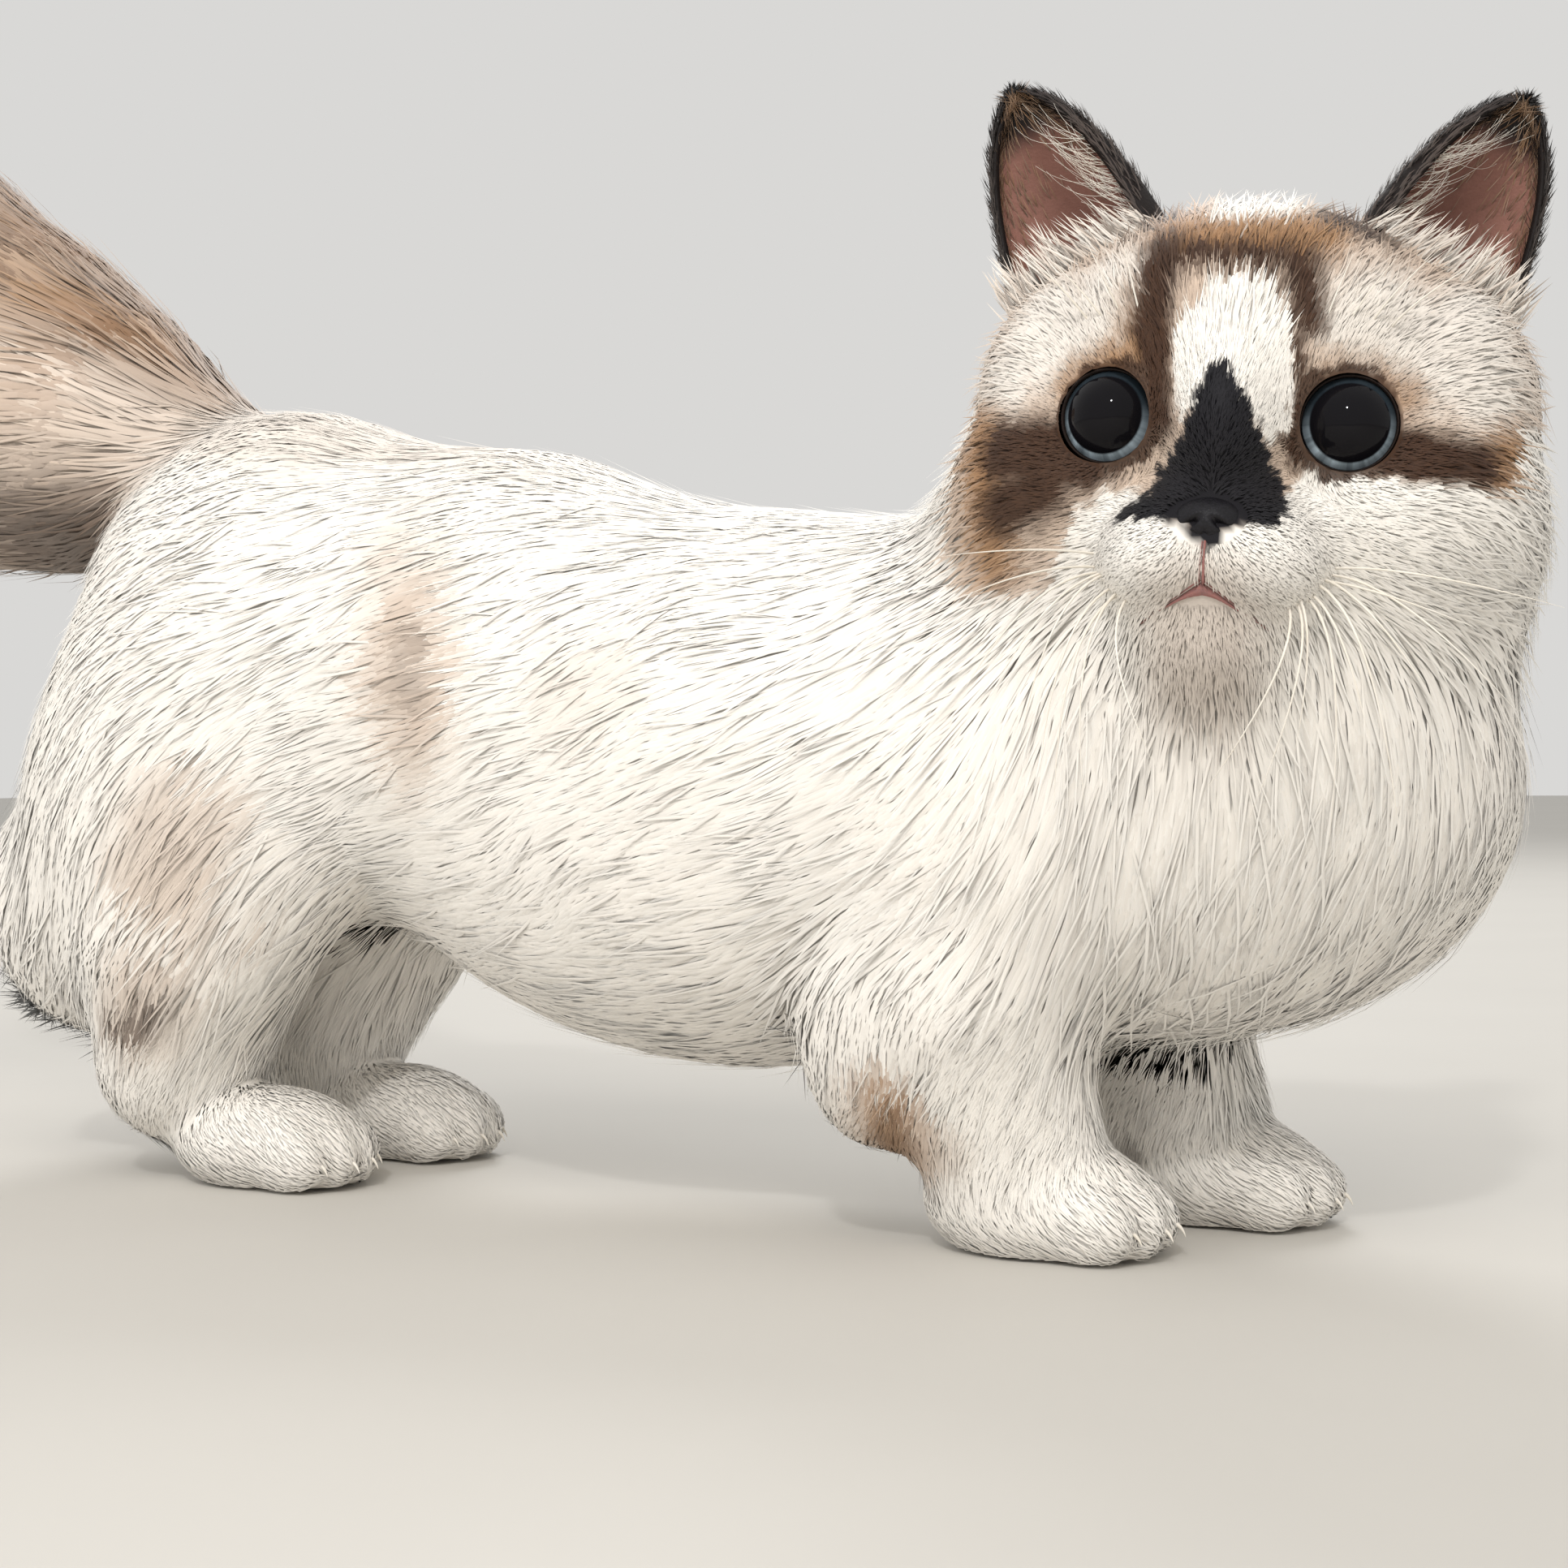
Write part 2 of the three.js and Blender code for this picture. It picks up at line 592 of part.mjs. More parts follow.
function placeRoots(axis, field, rings, spacing, place) {
  rings.forEach(({ t, lean }, row) => {
    const origin = axis.getPointAt(t);
    const tangent = axis.getTangentAt(t);
    const side = new THREE.Vector3(0, 1, 0).cross(tangent).normalize();
    const across = tangent.clone().cross(side);
    const slant = THREE.MathUtils.degToRad(lean);
    const girth = 2 * Math.PI * Math.cos(slant) * reach(field, origin, across, 0);
    const around = Math.max(4, Math.round(girth / spacing));
    for (let k = 0; k < around; k += 1) {
      const angle = ((k + (row % 2) / 2 + LOCK.jitter * (draw() - 0.5)) / around) * Math.PI * 2;
      const out = side.clone().multiplyScalar(Math.cos(angle)).addScaledVector(across, Math.sin(angle));
      out.multiplyScalar(Math.cos(slant)).addScaledVector(tangent, Math.sin(slant));
      place(origin.clone().addScaledVector(out, reach(field, origin, out, 0)), out, t);
    }
  });
}

// The lie of the coat at a place on the body
const headMiddle = vec(HEAD_AT);
function trunkLie(p) {
  const front = THREE.MathUtils.smoothstep(p.x, 70, 130);
  const side = Math.sign(p.y) * 0.12;
  return new THREE.Vector3(-1 + 0.85 * front, side, -0.3 - 0.9 * front);
}
const neckLie = (p) => p.clone().sub(headMiddle).normalize().add(new THREE.Vector3(0, 0, -0.8));
const thighLie = (p) => new THREE.Vector3(-0.55, Math.sign(p.y) * 0.1, -0.8);
const elbowLie = (p) => new THREE.Vector3(-0.5, Math.sign(p.y) * 0.15, -0.85);
const cheekLie = (p) => new THREE.Vector3(-0.7, Math.sign(p.y), -0.75);

function addLock(list, spec, place) {
  const length = varied(spec.length, 0.18);
  const path = lockPath({ ...place, length, sink: LOCK.sink, lift: spec.lift * draw() });
  const lock = { path, width: varied(spec.width, 0.12), thick: spec.thick };
  if (!foldsOver(lock)) list.push(lock);
  return lock;
}

const locks = { torso: [], neck: [], head: [] };
for (const side of Object.keys(SIDES)) {
  locks[`hindleg_${side}`] = [];
  locks[`foreleg_${side}`] = [];
}
const footPlane = vec(NECK_FOOT.normal);
const aboveNeckFoot = (p) => footPlane.dot(p) - NECK_FOOT.offset;

const trunkRings = [
  ...RUMP_LEANS.map((lean) => ({ t: 0, lean })),
  ...evenRings(COAT_LOCKS.trunk.tiers, 0, 1),
];
placeRoots(trunkAxis, trunkCore, trunkRings, COAT_LOCKS.trunk.spacing, (root) => {
  const shanks = Object.keys(SIDES).flatMap((side) => [hindField(hind[side]), foreField(fore[side])]);
  const inLeg = shanks.some((shank) => shank(root) < -6);
  if (inLeg || aboveNeckFoot(root) > -3) return;
  const onThigh = Object.keys(SIDES).find((side) => thighPart[side](root) < 0);
  const hang = root.z < 60 ? BELLY_HANG : 0;
  const spec = { ...COAT_LOCKS.trunk, lift: COAT_LOCKS.trunk.lift + hang };
  if (onThigh) addLock(locks[`hindleg_${onThigh}`], spec, { root, field: coatField, flow: thighLie });
  else addLock(locks.torso, spec, { root, field: coatField, flow: trunkLie });
});

// The ruff: rings round the foot of the head, parallel to it
const ruffNormal = vec(HEAD_FOOT.normal).transformDirection(headFrame.matrixWorld);
const ruffSide = new THREE.Vector3(0, 1, 0).transformDirection(headFrame.matrixWorld);
const ruffFront = ruffSide.clone().cross(ruffNormal);
for (const [row, depth] of RUFF_ROWS.entries()) {
  const centre = vec(HEAD_FOOT.normal).multiplyScalar(HEAD_FOOT.offset - depth);
  centre.applyMatrix4(headFrame.matrixWorld);
  for (let k = 0; k < COAT_LOCKS.ruff.around; k += 1) {
    const angle = ((k + row / 2) / COAT_LOCKS.ruff.around) * Math.PI * 2;
    const out = ruffSide.clone().multiplyScalar(Math.cos(angle)).addScaledVector(ruffFront, Math.sin(angle));
    const root = centre.clone().addScaledVector(out, reach(neckCore, centre, out, 0));
    if (aboveNeckFoot(root) < 1) continue;
    addLock(locks.neck, COAT_LOCKS.ruff, { root, field: coatField, flow: neckLie });
  }
}

// Cheek tufts stand in two short rows on each side of the head
for (const side of Object.values(SIDES)) {
  for (const row of CHEEK_ROWS) {
    for (const z of row.z) {
      const out = vec([row.x, side * 44, z]).sub(vec(HEAD_CENTRE)).normalize();
      const root = vec(HEAD_CENTRE).addScaledVector(out, reach(headCore, vec(HEAD_CENTRE), out, 0));
      const lock = addLock(locks.head, COAT_LOCKS.head, {
        root, field: headField, flow: cheekLie, lowest: -SKULL.size[0] - 20,
      });
      for (const step of lock.path) {
        step.at.applyMatrix4(headFrame.matrixWorld);
        step.normal.transformDirection(headFrame.matrixWorld);
      }
    }
  }
}

// Fringes behind the elbows and the hocks
for (const side of Object.keys(SIDES)) {
  const shanks = [
    [`foreleg_${side}`, fore[side].elbow, fore[side].wrist],
    [`hindleg_${side}`, hind[side].knee, hind[side].hock],
  ];
  for (const [name, upper, lower] of shanks) {
    const rings = evenRings(COAT_LOCKS.leg.tiers, 0.05, 0.7);
    const [axis, field] = [shankAxis(upper, lower), shankCore(upper, lower)];
    placeRoots(axis, field, rings, COAT_LOCKS.leg.spacing, (root, out) => {
      if (out.x > -0.2 || trunkCore(root) < 0) return;
      addLock(locks[name], COAT_LOCKS.leg, { root, field: coatField, flow: elbowLie });
    });
  }
}

// Tail hair sweeps back to the tip and hangs a little
const tailLocks = [];
const tailRings = evenRings(COAT_LOCKS.tail.tiers, 0.06, 1);
placeRoots(tailAxis, tailCore, tailRings, COAT_LOCKS.tail.spacing, (root, out, t) => {
  const tangent = tailAxis.getTangentAt(t);
  const flow = () => tangent.clone().addScaledVector(out, 0.3).add(new THREE.Vector3(0, 0, -0.25));
  const length = COAT_LOCKS.tail.length * THREE.MathUtils.lerp(0.75, 1, Math.sin(Math.PI * t));
  addLock(tailLocks, { ...COAT_LOCKS.tail, length }, { root, field: tailField, flow });
  tailLocks.at(-1).t = t;
});
locks.tail_base = tailLocks.filter((lock) => lock.t < TAIL_JOINS[0]);
locks.tail_middle = tailLocks.filter((lock) => lock.t >= TAIL_JOINS[0] && lock.t < TAIL_JOINS[1]);
locks.tail_tip = tailLocks.filter((lock) => lock.t >= TAIL_JOINS[1]);

// A thin round spine along a path, closed at its root and drawn to a point
function spine(path, radius) {
  const geometry = welded(new THREE.ConeGeometry(1, 1, WHISKERS.sides, path.length - 1));
  const position = geometry.attributes.position;
  for (let i = 0; i < position.count; i += 1) {
    const k = Math.round((position.getY(i) + 0.5) * (path.length - 1));
    const before = path[Math.max(k - 1, 0)];
    const after = path[Math.min(k + 1, path.length - 1)];
    const tangent = after.clone().sub(before).normalize();
    const across = tangent.clone().cross(FORWARD).normalize();
    const up = across.clone().cross(tangent);
    const onRim = Math.hypot(position.getX(i), position.getZ(i)) > 1e-6;
    const turn = Math.atan2(position.getX(i), position.getZ(i));
    const r = onRim ? radius * (1 - k / (path.length - 1)) ** 0.5 : 0;
    const p = path[k].clone().addScaledVector(across, Math.sin(turn) * r).addScaledVector(up, Math.cos(turn) * r);
    position.setXYZ(i, p.x, p.y, p.z);
  }
  return solid(geometry);
}

// Whiskers leave each pad in a fan and droop
function whiskerPath(side, share) {
  const { fan, length, steps, sunk, droop, pad, rise } = WHISKERS;
  const angle = THREE.MathUtils.degToRad(THREE.MathUtils.lerp(fan[0], fan[1], share));
  const first = new THREE.Vector3(0.5, side * (0.95 - 0.35 * share), -0.1 - 0.35 * share).normalize();
  const last = new THREE.Vector3(0.05, side * Math.cos(angle), Math.sin(angle) - 0.15).normalize();
  const centre = vec([pad[0], side * pad[1], pad[2] + rise * (0.5 - share)]);
  const p = centre.clone().addScaledVector(first, reach(headField, centre, first, 0) - sunk);
  const path = [p.clone()];
  for (let k = 1; k <= steps; k += 1) {
    const straight = (1 - (k - 0.5) / steps) ** droop;
    const way = first.clone().multiplyScalar(straight).addScaledVector(last, 1 - straight).normalize();
    path.push(p.addScaledVector(way, varied((sunk + length) / steps, 0.05)).clone());
  }
  return path;
}

const whiskers = Object.values(SIDES).flatMap((side) => (
  Array.from({ length: WHISKERS.eachSide }, (_, k) => (
    inPlace(spine(whiskerPath(side, k / (WHISKERS.eachSide - 1)), WHISKERS.radius))
  ))
));

// Cores: each gives way to the ones that it carries, with a thin gap
const flipped = (normal) => normal.map((n) => -n);

function makeHeadCore(grow) {
  let head = makeHead(grow);
  for (const side of Object.values(SIDES)) {
    const lid = ball({
      at: [EYE.at[0], side * EYE.at[1], EYE.at[2]],
      size: Array(3).fill(EYE.radius + LID_THICKNESS + grow),
    }, 16, 10);
    head = head.add(lid);
    if (grow === 0) head = head.subtract(eyeWindow(side)).subtract(eyeBall(side, GAP));
    if (grow === 0) head = head.add(mouthTube(side, LIP_RADIUS, -0.2));
  }
  if (grow === 0) {
    head = head.subtract(philtrum(MOUTH_GROOVE)).subtract(makeNose(GAP));
    for (const side of Object.values(SIDES)) head = head.subtract(mouthTube(side, MOUTH_GROOVE, 0.9));
    for (const ear of Object.values(EARS)) head = head.subtract(earLeaf(ear, -GAP, 0));
  }
  head = inPlace(head.trimByPlane(HEAD_FOOT.normal, HEAD_FOOT.offset + GAP - grow));
  return head.trimByPlane(NECK_FOOT.normal, NECK_FOOT.offset + GAP - grow);
}

function makeNeckCore(grow) {
  const below = makeNeck(grow).transform(toHead.elements);
  const neck = inPlace(below.trimByPlane(flipped(HEAD_FOOT.normal), -HEAD_FOOT.offset - grow));
  return neck.trimByPlane(NECK_FOOT.normal, NECK_FOOT.offset + GAP - grow);
}

// The thigh is the part of the trunk's surface inside an egg round it
function thighEgg(side, grow) {
  const { at, size } = hind[side].part;
  return ball({ at, size: size.map((r) => r + grow) }, 16, 10);
}

function makeTrunkCore(grow) {
  let trunk = makeTrunk(grow).trimByPlane(flipped(NECK_FOOT.normal), -NECK_FOOT.offset - grow);
  for (const side of Object.keys(SIDES)) trunk = trunk.subtract(thighEgg(side, GAP - grow));
  return trunk;
}

function makeTailCore(part, grow) {
  const [first, second] = TAIL_JOINS;
  const ends = { tail_base: [null, first], tail_middle: [first, second], tail_tip: [second, null] };
  return tailLength(makeTail(grow), ...ends[part]);
}

const cores = {
  head: makeHeadCore,
  neck: makeNeckCore,
  torso: makeTrunkCore,
};
for (const part of ['tail_base', 'tail_middle', 'tail_tip']) {
  cores[part] = (grow) => makeTailCore(part, grow);
}
for (const side of Object.keys(SIDES)) {
  const clearOfMiddle = [0, SIDES[side], 0];
  cores[`forepaw_${side}`] = (grow) => makePaw(fore[side].paw, grow);
  cores[`hindpaw_${side}`] = (grow) => makePaw(hind[side].paw, grow);
  cores[`foreleg_${side}`] = (grow) => makeShank(fore[side].elbow, fore[side].wrist, grow)
    .trimByPlane([0, 0, 1], GAP - grow)
    .trimByPlane(clearOfMiddle, GAP / 2 - grow);
  cores[`hindleg_${side}`] = (grow) => makeTrunk(grow)
    .intersect(thighEgg(side, grow))
    .add(makeShank(hind[side].knee, hind[side].hock, grow))
    .trimByPlane([0, 0, 1], GAP - grow)
    .trimByPlane(clearOfMiddle, GAP / 2 - grow);
  cores[`ear_${side}`] = (grow) => inPlace(earLeaf(EARS[side], -grow, 0));
}

// Whatever stands earlier in this list keeps its shape, and the later ones are cut clear of it
const ORDER = [
  'head', 'forepaw_left', 'forepaw_right', 'hindpaw_left', 'hindpaw_right',
  'tail_base', 'tail_middle', 'tail_tip',
  'foreleg_left', 'foreleg_right', 'hindleg_left', 'hindleg_right', 'neck', 'torso',
];
const boxOf = (body) => new THREE.Box3(vec(body.boundingBox().min), vec(body.boundingBox().max));

function clearOf(body, others) {
  let left = body;
  for (const other of others) {
    if (boxOf(left).intersectsBox(boxOf(other))) left = left.subtract(other);
  }
  return left;
}

const grownCores = Object.fromEntries(Object.entries(cores).map(([name, make]) => [name, make(GAP)]));
const bodies = {};
const grownLocks = [];
for (const [place, name] of ORDER.entries()) {
  const earlier = ORDER.slice(0, place);
  const later = Object.keys(grownCores).filter((other) => other !== name && !earlier.includes(other));
  let body = cores[name](0);
  if (locks[name]?.length) {
    const blades = joined(locks[name].map((lock) => blade(lock, 0)));
    body = body.add(clearOf(blades, later.map((other) => grownCores[other])));
  }
  if (name === 'head') body = body.add(joined(whiskers));
  body = clearOf(body, earlier.map((other) => grownCores[other]));
  body = clearOf(body, grownLocks);
  bodies[name] = largest(clearOf(body, Object.values(bodies)));
  if (locks[name]?.length) grownLocks.push(joined(locks[name].map((lock) => blade(lock, LOCK_GROW))));
}

for (const side of Object.keys(SIDES)) {
  bodies[`eye_${side}`] = inPlace(eyeBall(SIDES[side], 0));
  bodies[`ear_${side}`] = inPlace(largest(makeEar(EARS[side])));
}

let nose = makeNose(0);
for (const side of Object.values(SIDES)) {
  const at = [NOSTRIL.at[0], side * NOSTRIL.at[1], NOSTRIL.at[2]];
  nose = nose.subtract(ball({ at, size: NOSTRIL.size }, 6, 5));
}
bodies.nose = inPlace(largest(nose));

// Finishes of the solids
function finish(color, roughness) {
  return new THREE.MeshStandardMaterial({ color, roughness, metalness: 0 });
}

const FINISHES = {
  head: finish(CREAM_COAT, 0.9),
  neck: finish(WHITE_COAT, 0.92),
  torso: finish(WHITE_COAT, 0.92),
  tail: finish(TAN_COAT, 0.92),
  leg: finish(WHITE_COAT, 0.9),
  ear: finish(EAR_BROWN, 0.85),
  eye: finish(EYE_DARK, 0.08),
  nose: finish(NOSE_BLACK, 0.45),
};

function finishOf(name) {
  if (name.startsWith('tail')) return FINISHES.tail;
  if (name.startsWith('ear')) return FINISHES.ear;
  if (name.startsWith('eye')) return FINISHES.eye;
  return FINISHES[name] ?? FINISHES.leg;
}

// Corners of different sheets that meet at one point are drawn apart, each towards its own neighbours
function drawnApart(position, index) {
  const corner = (i) => new THREE.Vector3().fromArray(position, 3 * i);
  const key = (i) => corner(i).multiplyScalar(1 / MEETING).round().toArray().join();
  const there = Map.groupBy(Array(position.length / 3).keys(), key);
  const sums = new Map();
  for (const group of there.values()) {
    if (group.length > 1) group.forEach((i) => sums.set(i, { middle: new THREE.Vector3(), count: 0 }));
  }
  for (let t = 0; t < index.length; t += 3) {
    const corners = [index[t], index[t + 1], index[t + 2]];
    for (const i of corners.filter((corner) => sums.has(corner))) {
      const others = corners.filter((corner) => corner !== i);
      others.forEach((other) => sums.get(i).middle.add(corner(other)));
      sums.get(i).count += 2;
    }
  }
  for (const [i, { middle, count }] of sums) {
    const p = corner(i);
    p.addScaledVector(middle.divideScalar(count).sub(p).normalize(), 3 * MEETING).toArray(position, 3 * i);
  }
}

function geometryOf(body) {
  const mesh = body.getMesh();
  const position = new Float32Array(mesh.vertProperties);
  drawnApart(position, mesh.triVerts);
  const geometry = new THREE.BufferGeometry();
  geometry.setAttribute('position', new THREE.BufferAttribute(position, 3));
  geometry.setIndex(new THREE.BufferAttribute(new Uint32Array(mesh.triVerts), 1));
  geometry.computeVertexNormals();
  return geometry;
}

// The origin is on the floor, under the middle of the whole cat
const bounds = new THREE.Box3();
for (const body of Object.values(bodies)) bounds.union(boxOf(body));

const cat = new THREE.Group();
cat.name = 'munchkin_cat';
for (const [name, body] of Object.entries(bodies)) {
  const mesh = new THREE.Mesh(geometryOf(body), finishOf(name));
  mesh.name = name;
  mesh.position.set(-(bounds.min.x + bounds.max.x) / 2, -(bounds.min.y + bounds.max.y) / 2, -bounds.min.z);
  cat.add(mesh);
}

export default cat;
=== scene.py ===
"""Looks of a long-coated munchkin cat, life size: one skin, a coat of solid tufts, eyes, nose, ears and whiskers."""
import logging
import math
from dataclasses import dataclass, field, replace
from enum import Enum, IntEnum
from typing import Callable, Optional

import bpy
import numpy as np
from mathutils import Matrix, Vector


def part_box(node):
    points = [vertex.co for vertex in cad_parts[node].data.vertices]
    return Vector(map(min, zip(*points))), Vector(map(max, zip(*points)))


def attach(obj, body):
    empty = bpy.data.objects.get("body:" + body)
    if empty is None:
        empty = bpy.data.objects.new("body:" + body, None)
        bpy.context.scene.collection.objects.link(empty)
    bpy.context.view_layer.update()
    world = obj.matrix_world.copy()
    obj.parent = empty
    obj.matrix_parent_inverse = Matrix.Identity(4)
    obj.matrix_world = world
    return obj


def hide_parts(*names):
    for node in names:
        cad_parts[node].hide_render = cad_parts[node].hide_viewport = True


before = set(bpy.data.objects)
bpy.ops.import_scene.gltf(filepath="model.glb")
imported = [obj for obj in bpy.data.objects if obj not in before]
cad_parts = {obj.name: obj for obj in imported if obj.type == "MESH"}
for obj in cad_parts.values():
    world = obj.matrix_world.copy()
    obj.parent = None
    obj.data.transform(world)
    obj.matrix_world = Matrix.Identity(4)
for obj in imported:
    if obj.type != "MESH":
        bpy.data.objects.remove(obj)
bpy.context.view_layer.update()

import openvdb
from bpy.types import ID, Material, Node, NodeSocket, NodeTree, Object
from mathutils import Matrix, Vector
from mathutils.kdtree import KDTree

Array = np.ndarray
Rng = np.random.Generator
Triple = tuple[float, float, float]
Pairs = tuple[tuple[float, float], ...]
Field = Callable[[Array], Array]
MM = 0.001
BODY = "root"
log = logging.getLogger("munchkin_cat")


# Small helpers

def smooth(x: Array, low: float, high: float) -> Array:
    """Goes from 0 at low to 1 at high without corners."""
    t = np.clip((np.asarray(x, float) - low) / (high - low), 0, 1)
    return t * t * (3 - 2 * t)


def unit(v: Array) -> Array:
    """Vectors made one long."""
    return v / np.maximum(np.linalg.norm(v, axis=-1, keepdims=True), 1e-9)


def soft_min(a: Array, b: Array, k: float) -> Array:
    """The lower of two fields, with a fillet k wide where they meet."""
    h = np.maximum(k - np.abs(a - b), 0) / k
    return np.minimum(a, b) - h * h * k * 0.25


def ripple(p: Array, wavelength: float, seed: int) -> Array:
    """A smooth wandering value between about -1 and 1, the same in every run.

    Args:
        p: Places, one row each.
        wavelength: Rough distance between its crests, in the places' unit.
        seed: Picks the waves.

    Returns:
        One value for each place.
    """
    rng = np.random.default_rng(seed)
    waves = unit(rng.normal(size=(5, 3))) * (2 * math.pi / wavelength) * rng.uniform(0.7, 1.5, (5, 1))
    phases = rng.uniform(0, 2 * math.pi, 5)
    return np.sin(p @ waves.T + phases).sum(axis=1) / 3


def ripples(p: Array, wavelength: float, seed: int) -> Array:
    """Three ripples, a column each, from three seeds in a row."""
    return np.stack([ripple(p, wavelength, seed + i) for i in range(3)], axis=1)


def slope(distance: Field, p: Array, h: float = 0.4) -> Array:
    """The outward direction of a field, from four looks round each place.

    Args:
        distance: The field.
        p: Places, one row each.
        h: How far off it looks.

    Returns:
        One direction each.
    """
    corners = np.array([[1, -1, -1], [-1, -1, 1], [-1, 1, -1], [1, 1, 1]], float)
    total = np.zeros_like(p)
    for corner in corners:
        total += corner * distance(p + corner * h)[:, None]
    return unit(total)


# Forms, in millimetres in the cat's frame: +X towards the head end, +Y towards its left, +Z up

@dataclass(frozen=True)
class Egg:
    """An egg-shaped form."""

    at: Triple
    size: Triple

    def distance(self, p: Array) -> Array:
        """Roughly how far each place is outside the form."""
        q = (p - np.array(self.at)) / np.array(self.size)
        k0 = np.linalg.norm(q, axis=-1)
        k1 = np.linalg.norm(q / np.array(self.size), axis=-1)
        return np.where(k1 < 1e-9, -min(self.size), k0 * (k0 - 1) / np.maximum(k1, 1e-9))

    def mirrored(self) -> "Egg":
        """The same form on the other side."""
        return replace(self, at=(self.at[0], -self.at[1], self.at[2]))

    def moved(self, dx: float) -> "Egg":
        """The same form further forward."""
        return replace(self, at=(self.at[0] + dx, self.at[1], self.at[2]))


@dataclass(frozen=True)
class Joint:
    """A round end of a limb."""

    at: Triple
    radius: float

    def placed(self, dx: float, side: int) -> "Joint":
        """The same joint further forward, or on the other side."""
        return replace(self, at=(self.at[0] + dx, side * self.at[1], self.at[2]))


@dataclass(frozen=True)
class Limb:
    """A form that runs straight from one round end to another."""

    start: Joint
    end: Joint

    def distance(self, p: Array) -> Array:
        """How far each place is outside the limb."""
        a = np.array(self.start.at)
        ab = np.array(self.end.at) - a
        t = np.clip((p - a) @ ab / (ab @ ab), 0, 1)
        radius = self.start.radius + (self.end.radius - self.start.radius) * t
        return np.linalg.norm(p - a - t[:, None] * ab, axis=1) - radius


def blend(k: float, fields: list[Array]) -> Array:
    """Joins fields one after another with soft_min."""
    total = fields[0]
    for other in fields[1:]:
        total = soft_min(total, other, k)
    return total


def arc(start: Array, middle: Array, end: Array, count: int) -> Array:
    """Points on a curve that leaves start towards middle and ends at end."""
    t = np.linspace(0, 1, count)[:, None]
    return start * (1 - t) ** 2 + 2 * middle * t * (1 - t) + end * t**2


def curve_points(control: list[Triple], count: int) -> tuple[Array, Array]:
    """Even points on a centripetal Catmull-Rom curve.

    Args:
        control: The points that the curve passes.
        count: How many points to return.

    Returns:
        The points and the directions of the curve there.
    """
    c = np.array(control, float)
    c = np.vstack([2 * c[0] - c[1], c, 2 * c[-1] - c[-2]])
    dense = []
    for i in range(1, len(c) - 2):
        x0, x1, x2, x3 = c[i - 1:i + 3]
        d0, d1, d2 = (np.linalg.norm(b - a) ** 0.5 for a, b in ((x0, x1), (x1, x2), (x2, x3)))
        m1 = ((x1 - x0) / d0 - (x2 - x0) / (d0 + d1) + (x2 - x1) / d1) * d1
        m2 = ((x2 - x1) / d1 - (x3 - x1) / (d1 + d2) + (x3 - x2) / d2) * d1
        t = np.linspace(0, 1, 60, endpoint=i == len(c) - 3)[:, None]
        dense.append(x1 * (2 * t**3 - 3 * t**2 + 1) + m1 * (t**3 - 2 * t**2 + t)
                     + x2 * (3 * t**2 - 2 * t**3) + m2 * (t**3 - t**2))
    line = np.vstack(dense)
    run = np.concatenate([[0], np.cumsum(np.linalg.norm(np.diff(line, axis=0), axis=1))])
    places = np.linspace(0, run[-1], count)
    points = np.stack([np.interp(places, run, line[:, i]) for i in range(3)], axis=1)
    return points, unit(np.gradient(points, axis=0))


class Side(Enum):
    """The cat's two sides, each with its sign along Y."""

    LEFT = 1
    RIGHT = -1

    @property
    def label(self) -> str:
        """The side's name in the names of nodes and pieces."""
        return self.name.lower()


class Part(IntEnum):
    """The parts of the body that the coat differs on."""

    HEAD = 0
    NECK = 1
    TRUNK = 2
    FORELEG = 3
    THIGH = 4
    HINDLEG = 5
    PAW = 6
    TAIL = 7


@dataclass
class HeadFrame:
    """The head's own frame: forward, left and up from the middle of the skull."""

    at: Triple = (134, -22, 160)
    turn: float = -78.5
    roll: float = 4.5

    def __post_init__(self) -> None:
        """Works out the turn once."""
        spin = Matrix.Rotation(math.radians(self.turn), 3, "Z") @ Matrix.Rotation(math.radians(-self.roll), 3, "X")
        self.axes = np.array(spin)

    def inside(self, p: Array) -> Array:
        """Places of the cat in the head's frame."""
        return (p - np.array(self.at)) @ self.axes

    def outside(self, p: Array) -> Array:
        """Places of the head's frame on the cat."""
        return p @ self.axes.T + np.array(self.at)

    def turned(self, v: Array) -> Array:
        """Directions of the head's frame on the cat."""
        return v @ self.axes.T


@dataclass
class EarShape:
    """One ear: a rounded leaf that leans out, open to the front."""

    root: Triple
    tip: Triple
    facing: Triple
    width: float = 19.4
    depth: float = 12.5
    sunk: float = 10.0
    taper: float = 0.24
    blunt: float = 3.0


EARS = {Side.LEFT: EarShape((-6, 32, 36), (-12, 47.4, 71.6), (0.9, 0.42, 0)),
        Side.RIGHT: EarShape((-6, -34, 36), (-12, -54.2, 73.6), (0.97, -0.22, 0))}


